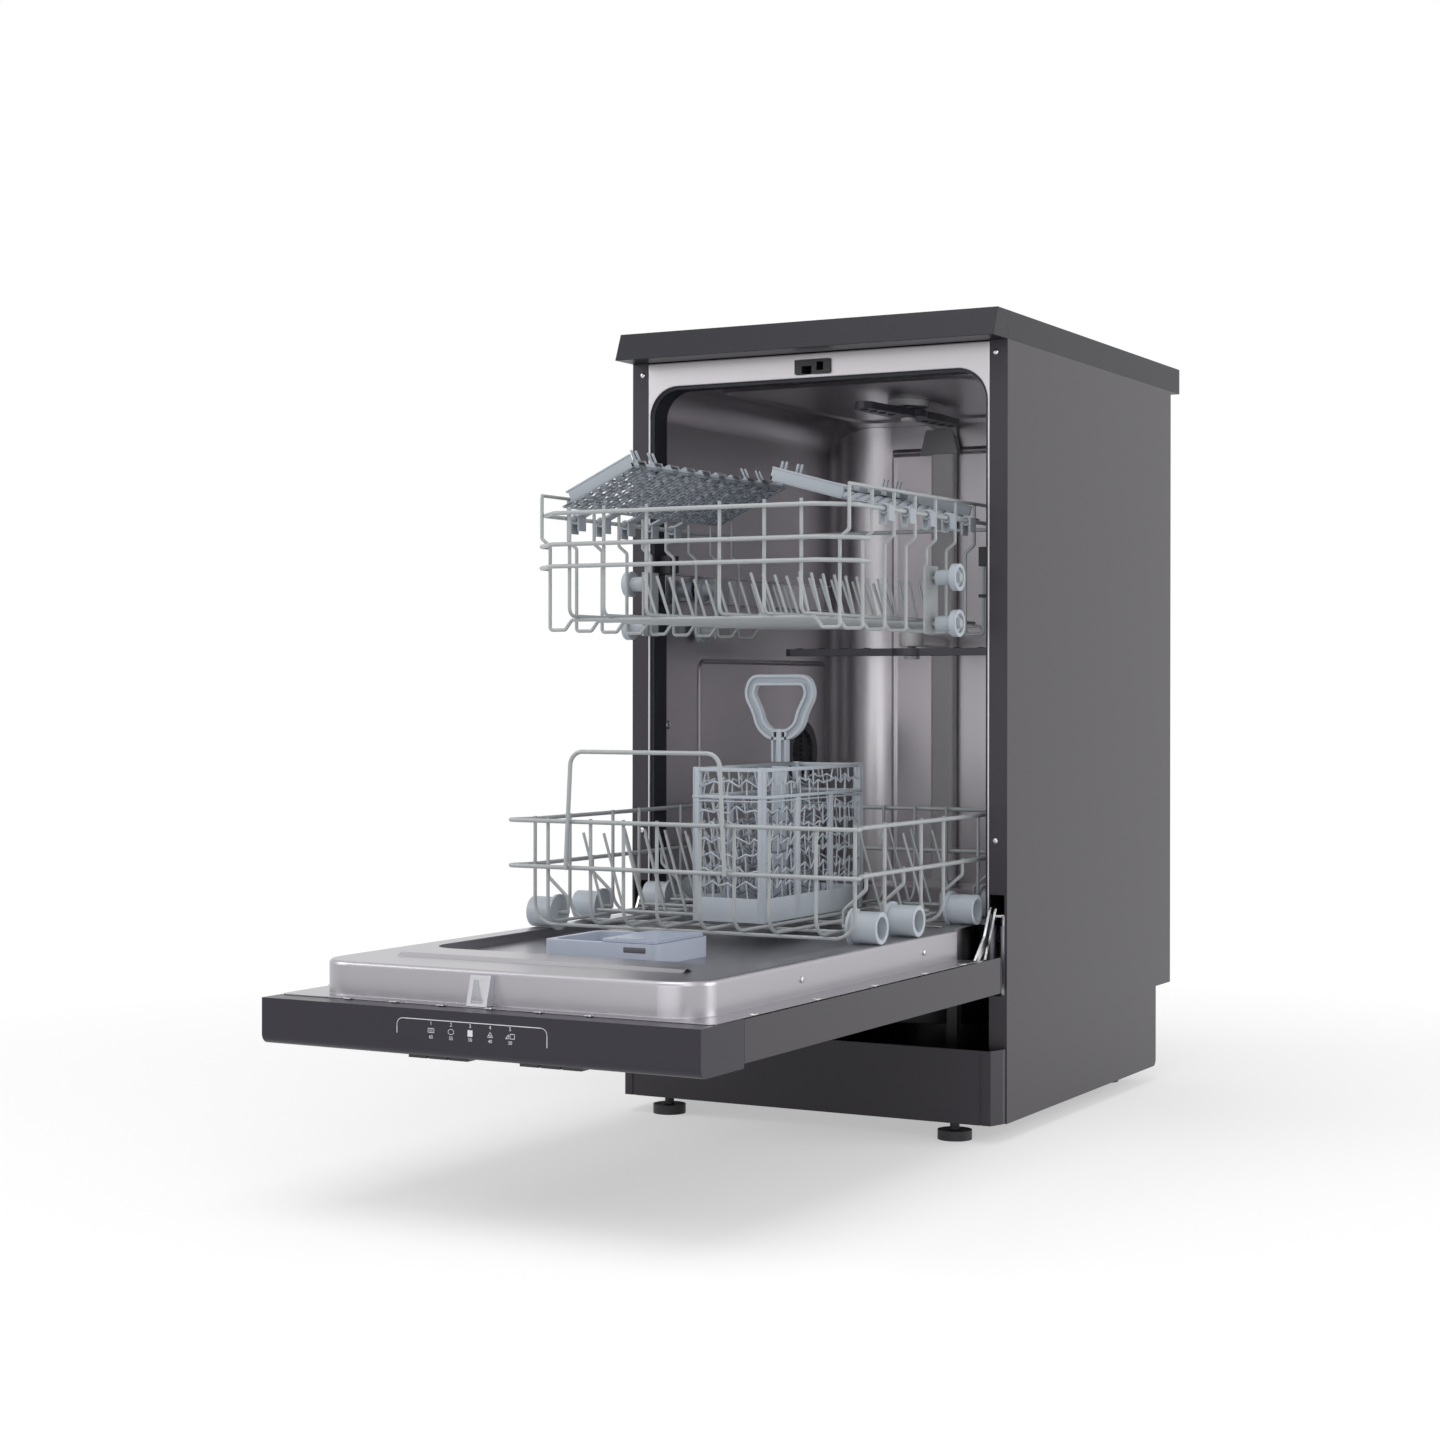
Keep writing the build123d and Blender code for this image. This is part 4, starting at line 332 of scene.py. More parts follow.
def shade(mesh, limit):
    """Smooth shading except across edges sharper than the limit, in degrees."""
    mesh.polygons.foreach_set("use_smooth", [True] * len(mesh.polygons))
    mesh.set_sharp_from_angle(angle=radians(limit))


def dress_nodes():
    for entry in frame["record"]["subparts"]:
        name = entry["node"]
        look = NODE_LOOK.get(name) or SLOT_LOOK.get(entry["material_slot"])
        data = nodes[name].data
        data.materials.clear()
        data.materials.append(LOOKS[look])
    for part in nodes.values():
        shade(part.data, CAD_SMOOTH)


# Places, in metres in the row frame. FRONT is the front plane of the cabinet.

REAR_SHEET = 0.0012
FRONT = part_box("side_panel_left")[0].y
REAR_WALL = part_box("tub_shell")[1].y - REAR_SHEET
FASCIA_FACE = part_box("control_panel")[0].y


def at(x, y, z):
    """A point given in millimetres, with y counted back from the front plane of the cabinet."""
    return Vector((x / 1000, FRONT + y / 1000, z / 1000))


def joint_place(child):
    return Vector(next(j for j in frame["joints"] if j["child"] == child)["pos_m"])


# Building blocks of the pieces

BEVEL_ANGLE = 0.7
BEVEL_PROFILE = 0.6
RING_SIDES = 6
RING_SKEW = Vector((0.31, 0.17, 0.93))
BEAD_POINTS = 7
BEAD_LIFT = 0.00005


def add_piece(name, mesh, look, body):
    mesh.materials.append(LOOKS[look])
    piece = placed(name, mesh)
    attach(piece, body)
    return piece


def finish_mesh(name, bm, bevel=0.0):
    if bevel:
        edges = [e for e in bm.edges if len(e.link_faces) == 2 and e.calc_face_angle(0) > BEVEL_ANGLE]
        bmesh.ops.bevel(bm, geom=edges, offset=bevel, segments=2, affect="EDGES", profile=BEVEL_PROFILE)
    mesh = mesh_from(name, bm)
    shade(mesh, SCENE_SMOOTH)
    return mesh


def add_solid(name, bm, look, body, bevel=0.0):
    return add_piece(name, finish_mesh(name, bm, bevel), look, body)


def box_into(bm, low, high):
    low, high = Vector(low), Vector(high)
    size = high - low
    spot = Matrix.Translation((low + high) / 2) @ Matrix.Diagonal((size.x, size.y, size.z, 1))
    bmesh.ops.create_cube(bm, size=1, matrix=spot)


def join_rows(bm, rows, around=True):
    """Faces between each row of points and the next one, also from a row's last point to its first."""
    for a, b in zip(rows, rows[1:]):
        for k in range(len(a) if around else len(a) - 1):
            n = (k + 1) % len(a)
            bm.faces.new((a[k], a[n], b[n], b[k]))


def ring_into(bm, points, radius):
    """A closed ring of round bar through the points."""
    rows = []
    for i, point in enumerate(points):
        along = (points[(i + 1) % len(points)] - points[i - 1]).normalized()
        side = along.cross(RING_SKEW).normalized()
        up = along.cross(side).normalized()
        turns = [2 * pi * k / RING_SIDES for k in range(RING_SIDES)]
        rows.append([bm.verts.new(point + (side * cos(turn) + up * sin(turn)) * radius) for turn in turns])
    join_rows(bm, rows + rows[:1])


def smooth_path(corners, radius, closed=False, steps=6):
    """The corners of a path, each rounded by an arc-like curve."""
    out = []
    count = len(corners)
    for i, point in enumerate(corners):
        if not closed and i in (0, count - 1):
            out.append(point)
            continue
        before = corners[i - 1]
        after = corners[(i + 1) % count]
        reach = min(radius, (point - before).length * 0.45, (after - point).length * 0.45)
        a = point + (before - point).normalized() * reach
        b = point + (after - point).normalized() * reach
        for k in range(steps + 1):
            t = k / steps
            out.append(a * (1 - t) ** 2 + point * 2 * t * (1 - t) + b * t * t)
    return out


def bead(name, corners, width, height, out, look, body, round_by=0.01, closed=False):
    """A pressed rib: a low half-round ridge along a path on a flat wall. out points away from the wall."""
    path = smooth_path(corners, round_by, closed)
    bm = bmesh.new()
    rows = []
    count = len(path)
    for i, point in enumerate(path):
        before = path[i - 1] if (i > 0 or closed) else point
        after = path[(i + 1) % count] if (i < count - 1 or closed) else point
        side = (after - before).normalized().cross(out)
        row = []
        for k in range(BEAD_POINTS):
            t = -1 + 2 * k / (BEAD_POINTS - 1)
            lift = height * (cos(pi * t) * 0.5 + 0.5)
            row.append(bm.verts.new(point + side * (t * width / 2) + out * (lift + BEAD_LIFT)))
        rows.append(row)
    join_rows(bm, rows + rows[:1] if closed else rows, around=False)
    add_solid(name, bm, look, body)


# Printed marks on the fascia: plain numbers and simple symbols, in millimetres

MARK_X = (-40.7, -20.0, -0.4, 20.0, 40.2)
MARK_Z = 174.5
NUMBER_ROWS = (
    ("high", 180.6, 4.6, ("1", "2", "3", "4", "5")),
    ("low", 168.9, 4.2, ("65", "55", "50", "40", "30")),
)
BRACKET_LEFT, BRACKET_RIGHT = -76.4, 77.0
BRACKET_TOP, BRACKET_LOW = 183.6, 167.5
BRACKET_TURN = 6
BRACKET_LINE, SYMBOL_LINE = 0.7, 0.5
LINE_END = 0.3
PRINT_LIFT = 0.00008
DOT_RING = [(3.0 * cos(pi * k / 6), 2.3 * sin(pi * k / 6)) for k in range(13)]
SYMBOLS = (
    [[(-3, -1.8), (3, -1.8), (3, 1.8), (-3, 1.8), (-3, -1.8)], [(-1, -1.8), (-1, 1.8)], [(1, -1.8), (1, 1.8)]],
    [DOT_RING],
    [[(-2.4, t / 2), (2.4, t / 2)] for t in range(-5, 6)],
    [[(-2.6, -2), (2.6, -2), (0, 2.4), (-2.6, -2)], [(-1.2, -0.7), (1.2, -0.7)]],
    [[(-4.5, -2), (-1.5, -2), (-1.5, 1.5), (-4.5, -2)], [(0, -2), (0, 2), (4.5, 2), (4.5, -2), (0, -2)]],
)


def flat_ribbon(bm, points, width, y):
    """A printed line on the upright face at y, through (x, z) points in millimetres."""
    for (x0, z0), (x1, z1) in zip(points, points[1:]):
        run = hypot(x1 - x0, z1 - z0)
        nx, nz = -(z1 - z0) / run * width / 2, (x1 - x0) / run * width / 2
        ex, ez = (x1 - x0) / run * width * LINE_END, (z1 - z0) / run * width * LINE_END
        corners = [(x0 - ex + nx, z0 - ez + nz), (x0 - ex - nx, z0 - ez - nz), (x1 + ex - nx, z1 + ez - nz),
                   (x1 + ex + nx, z1 + ez + nz)]
        bm.faces.new([bm.verts.new((x / 1000, y, z / 1000)) for x, z in corners])


def write_number(name, text, x, z, size, y):
    data = bpy.data.curves.new(name, "FONT")
    data.body = text
    data.size = size / 1000
    data.align_x = "CENTER"
    data.align_y = "CENTER"
    draft = placed(name, data)
    draft.location = (x / 1000, y, z / 1000)
    draft.rotation_euler = (radians(90), 0, 0)
    add_piece(name, settled_mesh(draft), "print", "door")


def fascia_print():
    bm = bmesh.new()
    y = FASCIA_FACE - PRINT_LIFT
    turn = BRACKET_TURN
    arc = [(BRACKET_LEFT + turn - turn * cos(pi / 2 * k / 6), BRACKET_TOP - turn + turn * sin(pi / 2 * k / 6))
           for k in range(7)]
    mirror = [(BRACKET_LEFT + BRACKET_RIGHT - x, z) for x, z in reversed(arc)]
    bracket = [(BRACKET_LEFT, BRACKET_LOW + 3)] + arc + mirror + [(BRACKET_RIGHT, BRACKET_LOW)]
    flat_ribbon(bm, bracket, BRACKET_LINE, y)
    for x, symbol in zip(MARK_X, SYMBOLS):
        for line in symbol:
            flat_ribbon(bm, [(x + dx, MARK_Z + dz) for dx, dz in line], SYMBOL_LINE, y)
    add_solid("fascia_marks", bm, "print", "door")
    for n, x in enumerate(MARK_X):
        for row, z, size, texts in NUMBER_ROWS:
            write_number("number_%s_%d" % (row, n + 1), texts[n], x, z, size, y)


# Screws and clips. A screw has its place and the outward normal of its wall.

SCREW_SIDES = 16
SCREW_PROFILE = ((1, 0), (1, 0.35), (0.8, 0.55), (0.3, 0.6), (0.22, 0.3))
SCREWS = (
    ("pillar_screws", "cabinet", 0.0028, [((x, 0, z), (0, -1, 0)) for x in (-212, 212) for z in (819, 311)]),
    ("liner_screws", "door", 0.003,
     [((side * 197.6, y, 208), (side, 0, 0)) for side in (1, -1) for y in (-150, -420)]),
    ("tub_screws", "cabinet", 0.005, [((side * 203, 40, 428), (-side, 0, 0)) for side in (-1, 1)]),
)
FLANGE_TOP = 193.3
FLANGE_EDGE = (217.5, 222.8)
CLIP_SINK = 0.6
SIDE_CLIPS_Y = (-560, -440, -320, -205, -110)


def screw_into(bm, centre, out, radius):
    """A round screw head with a cross recess, standing on a wall whose outward normal is out."""
    turn = Vector(out).to_track_quat("Z", "Y").to_matrix().to_4x4()
    place = Matrix.Translation(Vector(centre)) @ turn
    rows = []
    for wide_share, high_share in SCREW_PROFILE:
        r, h = wide_share * radius, high_share * radius
        row = []
        for k in range(SCREW_SIDES):
            wide = r * (0.6 + 0.4 * abs(cos(pi * k / 4))) if r < radius * 0.35 else r
            row.append(bm.verts.new(place @ Vector((wide * cos(pi * k / 8), wide * sin(pi * k / 8), h))))
        rows.append(row)
    join_rows(bm, rows)
    bm.faces.new(rows[-1])


def screws():
    for name, body, radius, spots in SCREWS:
        bm = bmesh.new()
        for place, out in spots:
            screw_into(bm, at(*place), out, radius)
        add_solid(name, bm, "bright_steel", body)


def flange_clips():
    """Small bright tabs that hold the liner flange over the outer panel and the fascia."""
    bm = bmesh.new()
    for x in range(-150, 101, 50):
        box_into(bm, at(x, -634, FLANGE_TOP - CLIP_SINK), at(x + 7, -626, FLANGE_TOP + 0.7))
    for side in (-1, 1):
        for y in SIDE_CLIPS_Y:
            x0, x1 = sorted(side * x for x in FLANGE_EDGE)
            box_into(bm, at(x0, y, FLANGE_TOP - CLIP_SINK), at(x1, y + 8, FLANGE_TOP + 0.9))
    add_solid("flange_clips", bm, "bright_steel", "door", 0.0003)


# Pressed shapes in the steel. A bead of a side wall has its name, (y, z) corners, width, height and rounding.

TUB_SIDE = 203.0
TUB_CEILING = 805.0
LINER_TOP = 224.0
SIDE_BEADS = (
    ("rib", ((142, 786), (442, 786)), 0.014, 0.0035, 0.01),
    ("frame", ((115, 250), (115, 501), (445, 501), (445, 250)), 0.006, 0.0022, 0.012),
    ("low_rib", ((60, 236), (440, 236)), 0.01, 0.002, 0.01),
)
REAR_RIBS_X = (-138, 70, 138)
RING_CORNERS = ((-150, 60), (150, 60), (150, 440), (-150, 440))


def pressed_shapes():
    forward = Vector((0, -1, 0))
    up = Vector((0, 0, 1))
    for side, side_name in ((-1, "left"), (1, "right")):
        out = Vector((1, 0, 0)) * -side
        for name, corners, width, height, round_by in SIDE_BEADS:
            bead(name + "_" + side_name, [at(side * TUB_SIDE, y, z) for y, z in corners], width, height, out,
                 "tub_steel", "cabinet", round_by)
    rear = REAR_WALL * 1000 - FRONT * 1000
    for n, x in enumerate(REAR_RIBS_X):
        bead("rear_rib_%d" % n, [at(x, rear, 240), at(x, rear, 766)], 0.008, 0.002, forward, "tub_steel", "cabinet")
    bead("rear_rib_top", [at(-140, rear, 771), at(140, rear, 771)], 0.01, 0.003, forward, "tub_steel", "cabinet")
    bead("ceiling_ring", [at(x, y, TUB_CEILING) for x, y in RING_CORNERS], 0.014, 0.003, -up, "tub_steel",
         "cabinet", 0.03, True)
    bead("liner_bead_front", [at(-150, -545, LINER_TOP), at(150, -545, LINER_TOP)], 0.018, 0.0030, up,
         "liner_steel", "door")


def dispenser_button():
    """The dark oblong button in the front of the dispenser."""
    low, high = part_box("dispenser_body")
    bm = bmesh.new()
    box_into(bm, (0.026, low.y - 0.0005, high.z - 0.0086), (0.050, low.y + 0.002, high.z - 0.0030))
    add_solid("dispenser_button", bm, "arm_plastic", "door", 0.0012)


VENT_Y, VENT_Z = 375, 390
VENT_RADIUS = 0.0275
VENT_DEPTH = 0.003
SLAT_PITCH = 0.0056
SLAT_HALF, UPRIGHT_HALF = 0.0009, 0.0012
SLAT_BACK = 0.0025
VENT_EDGE = 0.001


def vent_grille():
    """The round grille of the tub vent: a dark disc with level slats and one upright bar."""
    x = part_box("air_break")[1].x - 0.0012
    centre = at(0, VENT_Y, VENT_Z)
    bm = bmesh.new()
    turn = Matrix.Rotation(radians(90), 4, "Y")
    bmesh.ops.create_cone(bm, cap_ends=True, segments=48, radius1=VENT_RADIUS, radius2=VENT_RADIUS * 0.96,
                          depth=VENT_DEPTH,
                          matrix=Matrix.Translation((x - VENT_DEPTH, centre.y, centre.z)) @ turn)
    for n in range(-4, 5):
        z = centre.z + n * SLAT_PITCH
        half = (VENT_RADIUS ** 2 - (n * SLAT_PITCH) ** 2) ** 0.5 - VENT_EDGE
        box_into(bm, (x - SLAT_BACK, centre.y - half, z - SLAT_HALF), (x + 0.0006, centre.y + half, z + SLAT_HALF))
    box_into(bm, (x - SLAT_BACK, centre.y - UPRIGHT_HALF, centre.z - VENT_RADIUS + VENT_EDGE),
             (x + 0.0008, centre.y + UPRIGHT_HALF, centre.z + VENT_RADIUS - VENT_EDGE))
    add_solid("vent_grille", bm, "black_plastic", "cabinet", 0.0002)


# Cutlery basket: an irregular lattice of bars between solid posts and bands

NET_JITTER = 0.34
NET_STAGGER = 0.16
NET_SEED = 7
BASKET_CELL, BASKET_ROW = 0.02, 0.0145
BASKET_BAR, DIVIDER_BAR = 0.0027, 0.0026
BASKET_WALL, BASKET_POST = 0.002, 0.007
BASKET_PROUD = 0.001
POST_PROUD = 0.0005
RIM_Z, BAND_Z, SOLID_Z = 0.1536, 0.1246, 0.024
DIVIDER_Z = 0.010
HANDLE_Z = 0.185
BAR_THICK = BASKET_WALL * 0.9


def lattice(width, height, cell, row, seed, bar, thick):
    """A flat net of uneven six-sided holes, as bars, lying in x and z from the origin."""
    columns = max(2, round(width / cell))
    rows = max(1, round(height / row))
    grid = {}
    bm = bmesh.new()
    for j in range(rows + 1):
        for k in range(2 * columns + 1):
            x = width * k / (2 * columns)
            z = height * j / rows
            push = noise.noise_vector(Vector((k * 0.83 + seed, j * 1.31, seed * 0.7)))
            if 0 < k < 2 * columns:
                x += push.x * cell * NET_JITTER
            if 0 < j < rows:
                z += push.z * row * NET_JITTER + (row * NET_STAGGER if (k + j) % 2 else -row * NET_STAGGER)
            grid[j, k] = bm.verts.new((x, 0, z))
    for j in range(rows):
        cuts = [0] + list(range(j % 2 or 2, 2 * columns, 2)) + [2 * columns]
        for a, b in zip(cuts, cuts[1:]):
            ring = [grid[j, k] for k in range(a, b + 1)] + [grid[j + 1, k] for k in range(b, a - 1, -1)]
            bm.faces.new(ring)
    draft = placed("net", mesh_from("net", bm))
    wire = draft.modifiers.new("bars", "WIREFRAME")
    wire.thickness = bar
    wire.use_boundary = True
    wire.use_replace = True
    wire.use_even_offset = False
    net = settled_mesh(draft)
    net.transform(Matrix.Diagonal((1, thick / bar, 1, 1)))
    return net


def basket_net(name, width, height, seed, bar, look, place):
    net = lattice(width, height, BASKET_CELL, BASKET_ROW, seed, bar, BAR_THICK)
    net.transform(place)
    add_piece(name, net, look, "cutlery_basket")


def cutlery_basket():
    low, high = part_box("cutlery_basket")
    x0, x1 = low.x + BASKET_PROUD, high.x - BASKET_PROUD
    y0, y1 = low.y + BASKET_PROUD, high.y - BASKET_PROUD
    z0 = low.z
    rim_z, band_z, solid_z = z0 + RIM_Z, z0 + BAND_Z, z0 + SOLID_Z
    post, wall = BASKET_POST, BASKET_WALL
    bm = bmesh.new()
    box_into(bm, (x0 + 0.003, y0 + 0.003, z0), (x1 - 0.003, y1 - 0.003, z0 + wall))
    walls = (
        (x0, y0, x1, y0 + wall), (x0, y1 - wall, x1, y1),
        (x0, y0 + 2 * wall, x0 + wall, y1 - 2 * wall), (x1 - wall, y0 + 2 * wall, x1, y1 - 2 * wall),
    )
    bands = (
        (0, z0, solid_z), (BASKET_PROUD, band_z - 0.0015, band_z + 0.0015),
        (0.0006, band_z - 0.005, band_z - 0.0035), (0, rim_z - 0.004, rim_z),
    )
    for xa, ya, xb, yb in walls:
        for proud, z_low, z_high in bands:
            box_into(bm, (xa - proud, ya - proud, z_low), (xb + proud, yb + proud, z_high))
    for x in (x0 - POST_PROUD, x1 - post + POST_PROUD):
        for y in (y0 - POST_PROUD, y1 - post + POST_PROUD):
            box_into(bm, (x, y, z0 - 0.0002), (x + post, y + post, rim_z + POST_PROUD))
    across = x1 - x0 - 2 * wall
    # The cross and middle dividers take the darker net finish, which is painted shade.
    for n in (1, 2):
        y = y0 + (y1 - y0) * n / 3
        for x in (x0, x1 - wall):
            box_into(bm, (x - 0.0005, y - 0.005, z0 + 0.0004), (x + wall + 0.0005, y + 0.005, band_z))
        basket_net("basket_cross_%d" % n, across, band_z - z0 - 0.012, 7.0 + n, DIVIDER_BAR, "painted_shade_net",
                   Matrix.Translation((x0 + wall, y, z0 + DIVIDER_Z)))
    middle_x, middle_y = (x0 + x1) / 2, (y0 + y1) / 2
    basket_net("basket_middle", across, rim_z - z0 - 0.014, 11.0, DIVIDER_BAR, "painted_shade_net",
               Matrix.Translation((x0 + wall, middle_y, z0 + DIVIDER_Z)))
    box_into(bm, (middle_x - 0.008, middle_y - 0.004, z0 + wall),
             (middle_x + 0.008, middle_y + 0.004, rim_z - 0.001))
    basket = add_solid("basket_body", bm, "grey_plastic", "cutlery_basket", 0.0005)
    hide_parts("cutlery_basket")
    quarter = Matrix.Rotation(radians(90), 4, "Z")
    for low_z, high_z, seed in ((solid_z - 0.001, band_z, 0.0), (band_z, rim_z - 0.002, 3.0)):
        for name, y in (("front", y0 + wall / 2), ("back", y1 - wall / 2)):
            basket_net("basket_%s_%d" % (name, seed), x1 - x0, high_z - low_z, seed + y, BASKET_BAR, "grey_plastic",
                       Matrix.Translation((x0, y, low_z)))
        for name, x in (("left", x0 + wall / 2), ("right", x1 - wall / 2)):
            basket_net("basket_%s_%d" % (name, seed), y1 - y0, high_z - low_z, seed + x * 9, BASKET_BAR,
                       "grey_plastic", Matrix.Translation((x, y0, low_z)) @ quarter)
    basket_loop(middle_x, middle_y, z0 + HANDLE_Z, high.z)


LOOP_WIDE = 0.0355
LOOP_LOW_CORNERS = ((0.3, 0), (0.62, 0.010), (0.72, 0.023), (1, 0.042))
LOOP_TOP_SHARE = 0.86
LOOP_HALF, LOOP_DEEP, LOOP_RIB, LOOP_WEB = 0.0056, 0.004, 0.003, 0.0012
STEM_LENGTH = 0.028


def basket_loop(x, y, low, top):
    """The hand loop across the basket, with a rib along both edges of each face, and its ribbed stem."""
    half, deep, rib, web = LOOP_HALF, LOOP_DEEP, LOOP_RIB, LOOP_WEB
    corners = [(share * LOOP_WIDE, low + rise) for share, rise in LOOP_LOW_CORNERS]
    corners.append((LOOP_TOP_SHARE * LOOP_WIDE, top - 0.0055))
    ring = [Vector((x + dx, y, z)) for dx, z in corners] + [Vector((x - dx, y, z)) for dx, z in reversed(corners)]
    path = smooth_path(ring, 0.012, True, 8)
    profile = [(-half, -deep), (rib - half, -deep), (rib - half, -web), (half - rib, -web), (half - rib, -deep),
               (half, -deep), (half, deep), (half - rib, deep), (half - rib, web), (rib - half, web),
               (rib - half, deep), (-half, deep)]
    bm = bmesh.new()
    rows = []
    for i, point in enumerate(path):
        along = (path[(i + 1) % len(path)] - path[i - 1]).normalized()
        side = along.cross(Vector((0, 1, 0)))
        rows.append([bm.verts.new(point + side * u + Vector((0, v, 0))) for u, v in profile])
    join_rows(bm, rows + rows[:1])
    bmesh.ops.recalc_face_normals(bm, faces=bm.faces)
    foot = low - STEM_LENGTH
    for half_x, half_y in ((0.0085, 0.0012), (0.0028, 0.0042)):
        box_into(bm, (x - half_x, y - half_y, foot), (x + half_x, y + half_y, low + 0.006))
    for side in (-1, 1):
        edge = x + side * 0.0075
        box_into(bm, (edge - 0.0012, y - 0.004, foot), (edge + 0.0012, y + 0.004, low + 0.003))
    add_solid("basket_handle", bm, "grey_plastic", "cutlery_basket")


# Cup shelves, drawn level from the hinge line at the origin and then tilted into place

SHELF_TILT = {"left": 25.0, "right": 15.0}
SHELF_ROOT, SHELF_TIP = 0.019, 0.112
SHELF_LIP = 0.014
SHELF_END = 0.002
SHELF_SCALLOP = 0.034
SHELF_CELL, SHELF_ROW = 0.016, 0.0095
SHELF_BAR, SHELF_THICK = 0.0034, 0.0024
BUMP_COLUMNS, BUMP_ROWS = 8, 26
BUMP_SIZE = (0.0042, 0.0050, 0.0016, 1)
BUMP_Z = 0.0015
CLIPS = 5
CLIP_FIRST, CLIP_PITCH = -271, 51
CLIP_X = 0.177
CLIP_RADIUS, CLIP_WIRE = 0.0040, 0.0016
CLIP_TURNS_Y = (-0.0055, 0.0, 0.0055)
CLIP_HALF_Y = 0.007
CLIP_LEGS = ((-0.0055, -0.0035, 0.015), (0.0035, 0.0055, 0.012))


def clip_y(n):
    return FRONT + (CLIP_FIRST + (n + 1.5) * CLIP_PITCH) / 1000


def shelf_edge(bm, y0, y1):
    """The rim of a shelf: end walls with lips, both long edges, scallops, prongs and hinge tabs."""
    root, tip = SHELF_ROOT, SHELF_TIP
    for y in (y0, y1 - SHELF_END):
        box_into(bm, (root + 0.012, y, 0), (tip, y + SHELF_END, SHELF_LIP))
        box_into(bm, (root + 0.010, y - 0.0004, SHELF_LIP - 0.002), (tip, y + 0.0024, SHELF_LIP))
    box_into(bm, (root, y0, 0), (root + 0.003, y1, 0.0024))
    box_into(bm, (tip - 0.0025, y0, 0), (tip, y1, 0.005))
    count = int((y1 - y0) / SHELF_SCALLOP)
    for n in range(count):
        y = y0 + 0.008 + n * SHELF_SCALLOP
        box_into(bm, (tip - 0.012, y, 0.004), (tip, y + 0.021, 0.0086))
        box_into(bm, (tip - 0.002, y + 0.003, 0.0), (tip, y + 0.018, 0.0086))
        if n in (0, 1, count - 2, count - 1):
            for dy in (0.004, 0.013):
                box_into(bm, (tip - 0.004, y + dy, 0.008), (tip - 0.0018, y + dy + 0.0022, 0.021))
    for n in range(CLIPS):
        y = clip_y(n)
        box_into(bm, (0.0028, y - 0.008, 0.0002), (root + 0.001, y + 0.008, 0.0026))


def shelf_bumps(bm, y0, y1):
    """Low round bumps in staggered rows on the plate of a shelf."""
    for i in range(BUMP_COLUMNS):
        for j in range(BUMP_ROWS):
            step = i + (0.5 if j % 2 else 0)
            x = SHELF_ROOT + 0.007 + step * (SHELF_TIP - SHELF_ROOT - 0.012) / BUMP_COLUMNS
            y = y0 + 0.010 + j * (y1 - y0 - 0.020) / (BUMP_ROWS - 1)
            if x < SHELF_TIP - 0.006:
                pad = Matrix.Translation((x, y, BUMP_Z)) @ Matrix.Diagonal(BUMP_SIZE)
                bmesh.ops.create_uvsphere(bm, u_segments=10, v_segments=6, radius=1, matrix=pad)


def shelf_clips(bm, x, z):
    """The clips on the rack's top wire that carry a shelf: three turns and two legs each."""
    for n in range(CLIPS):
        y = clip_y(n)
        centre = Vector((x, y, z))
        turns = [pi * 2 * k / 20 for k in range(20)]
        arc = [centre + Vector((CLIP_RADIUS * cos(a), 0, CLIP_RADIUS * sin(a))) for a in turns]
        for dy in CLIP_TURNS_Y:
            ring_into(bm, [p + Vector((0, dy, 0)) for p in arc], CLIP_WIRE)
        for near, far, drop in CLIP_LEGS:
            box_into(bm, (centre.x + near, y - CLIP_HALF_Y, z - drop),
                     (centre.x + far, y + CLIP_HALF_Y, z + 0.003))


def cup_shelf(side):
    sign = -1 if side == "left" else 1
    body = "cup_shelf_" + side
    low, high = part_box(body)
    y0, y1 = low.y, high.y
    hinge = joint_place(body)
    place = Matrix.Translation((-sign * hinge.x, 0, hinge.z)) @ Matrix.Rotation(radians(-SHELF_TILT[side]), 4, "Y")
    if sign > 0:
        place = Matrix.Diagonal((-1, 1, 1, 1)) @ place
    bm = bmesh.new()
    shelf_edge(bm, y0, y1)
    shell = finish_mesh("shelf_edge_" + side, bm, 0.0004)
    shell.transform(place)
    if sign > 0:
        shell.flip_normals()
    edge = add_piece("shelf_edge_" + side, shell, "shelf_plastic", body)
    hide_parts(body)
    net = lattice(SHELF_TIP - SHELF_ROOT - 0.002, y1 - y0 - 0.003, SHELF_CELL, SHELF_ROW, 5.0 + sign,
                  SHELF_BAR, SHELF_THICK)
    net.transform(Matrix.Rotation(radians(-90), 4, "X"))
    net.transform(Matrix.Translation((SHELF_ROOT + 0.001, y0 + 0.0015, 0.0012)))
    net.transform(place)
    # The net takes the darker net finish, which is painted shade on the underside of the shelf.
    add_piece("painted_shade_net_" + side, net, "painted_shade_net", body)
    bm = bmesh.new()
    shelf_bumps(bm, y0, y1)
    bumps = finish_mesh("shelf_bumps_" + side, bm)
    bumps.transform(place)
    add_piece("shelf_bumps_" + side, bumps, "shelf_plastic", body)
    bm = bmesh.new()
    shelf_clips(bm, sign * CLIP_X, hinge.z)
    add_solid("shelf_clips_" + side, bm, "shelf_plastic", body)


# Spray arms: name, side of the nozzles, angle in degrees, and reach of the nozzle row

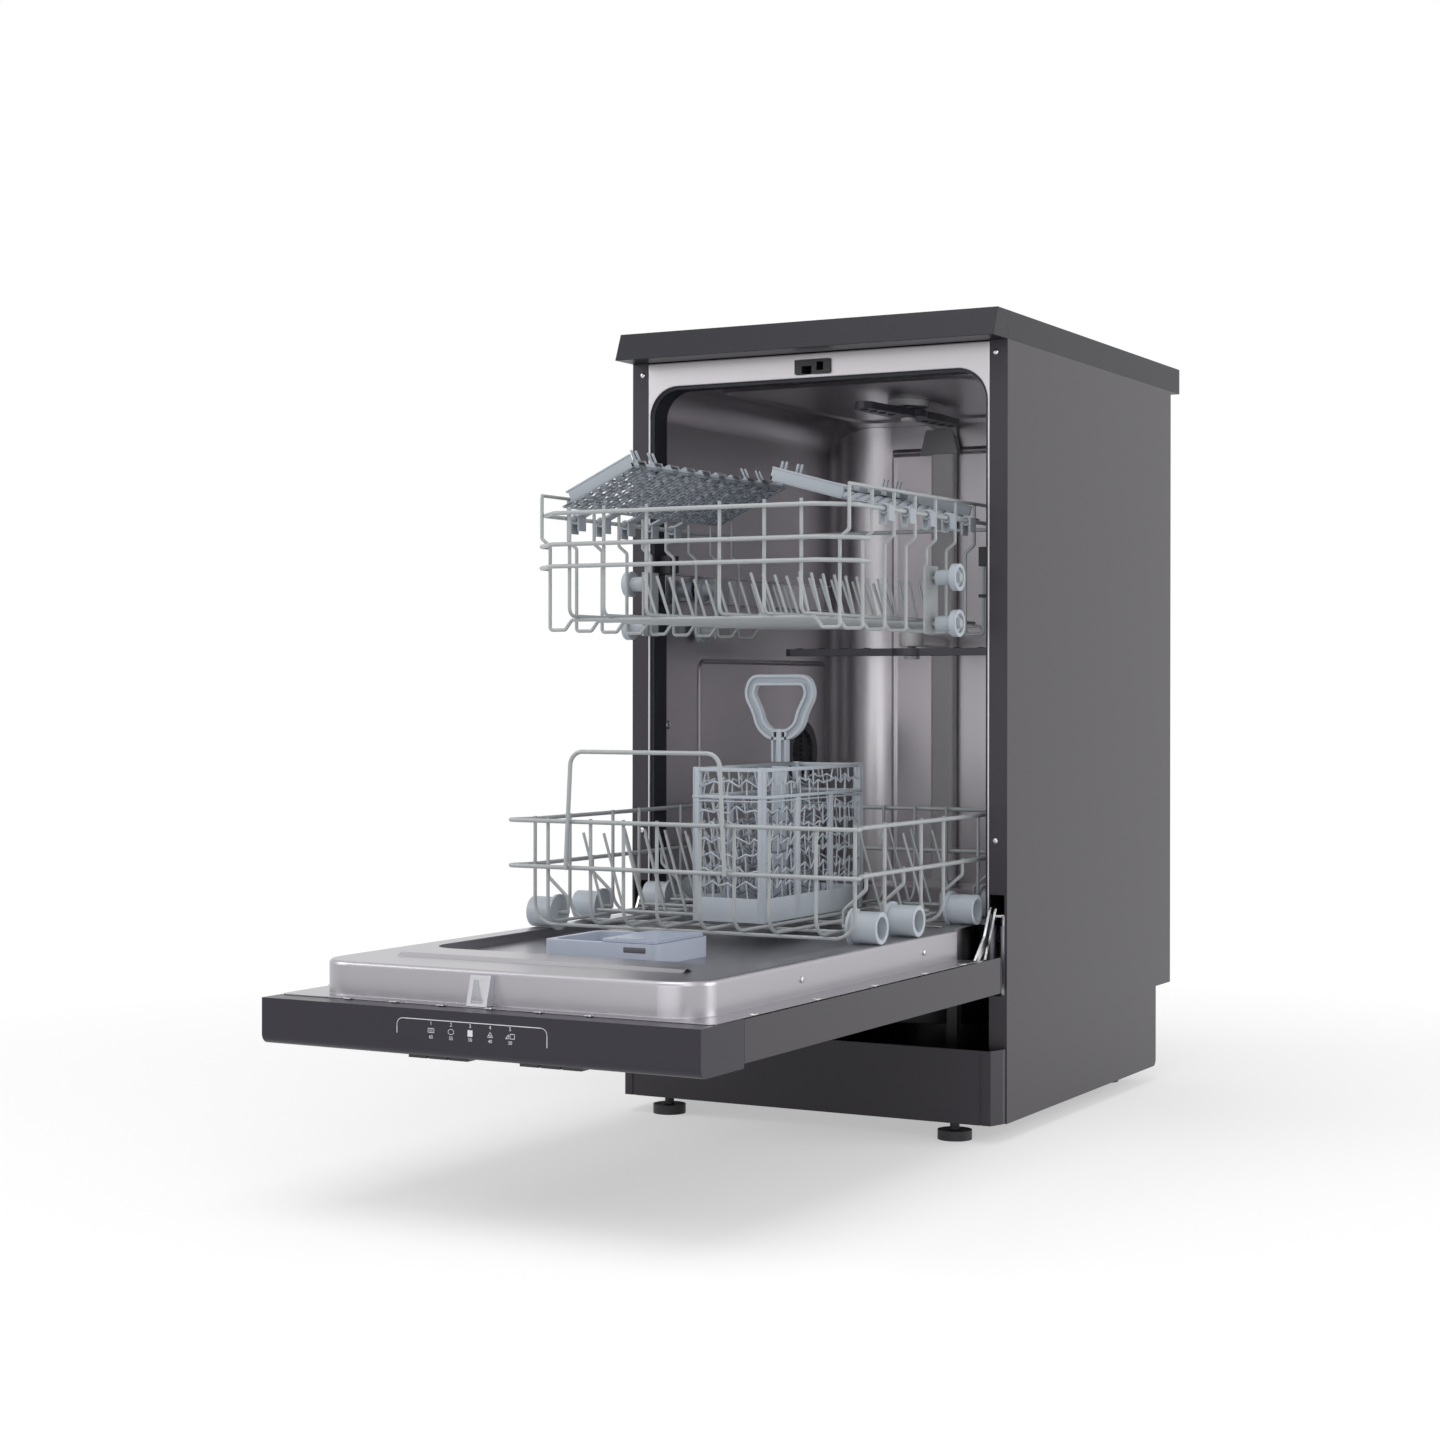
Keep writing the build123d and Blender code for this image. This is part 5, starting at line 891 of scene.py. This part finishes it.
SPRAY_ARMS = (
    ("lower_spray_arm", 1, 35, 0.155),
    ("middle_spray_arm", 1, 0, 0.165),
    ("ceiling_spray_arm", -1, 86.5, 0.12),
)
NOZZLES = 4
NOZZLE_HALF_X, NOZZLE_HALF_Y = 0.0042, 0.0028
NOZZLE_RIM = 0.0008


def spray_nozzles():
    """Small raised nozzle rims along the spray arms. Their black is painted shade that stands for the dark nozzle
    holes.
    """
    for name, facing, angle, reach in SPRAY_ARMS:
        low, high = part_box(name)
        centre = Vector((0, joint_place(name).y, 0))
        z = high.z if facing > 0 else low.z
        bm = bmesh.new()
        for side in (-1, 1):
            for n in range(NOZZLES):
                r = reach * (0.35 + 0.18 * n) * side
                spot = centre + Vector((r * cos(radians(angle)), r * sin(radians(angle)), z + facing * 0.0002))
                ring_into(bm, [spot + Vector((NOZZLE_HALF_X * cos(pi * k / 8), NOZZLE_HALF_Y * sin(pi * k / 8), 0))
                               for k in range(16)], NOZZLE_RIM)
        add_solid(name + "_nozzles", bm, "black_plastic", name)


DUCT_OUTLINE = ((-96, 0.766), (-44, 0.766), (-52, 0.797), (-88, 0.797))
DUCT_OUT, DUCT_DEPTH = 0.016, 0.013


def duct_tab():
    """The flared end of the water duct where it turns from the rear wall to the ceiling."""
    bm = bmesh.new()
    y = REAR_WALL - DUCT_OUT
    front = [bm.verts.new((x / 1000, y, z)) for x, z in DUCT_OUTLINE]
    back = [bm.verts.new((x / 1000, y + DUCT_DEPTH, z)) for x, z in DUCT_OUTLINE]
    bm.faces.new(front)
    bm.faces.new(list(reversed(back)))
    for k in range(4):
        bm.faces.new((front[k], back[k], back[(k + 1) % 4], front[(k + 1) % 4]))
    bmesh.ops.recalc_face_normals(bm, faces=bm.faces)
    add_solid("duct_tab", bm, "duct_plastic", "cabinet", 0.0008)


noise.seed_set(NET_SEED)
camera()
studio()
floor()
dress_nodes()
fascia_print()
screws()
flange_clips()
pressed_shapes()
dispenser_button()
vent_grille()
cutlery_basket()
cup_shelf("left")
cup_shelf("right")
spray_nozzles()
duct_tab()
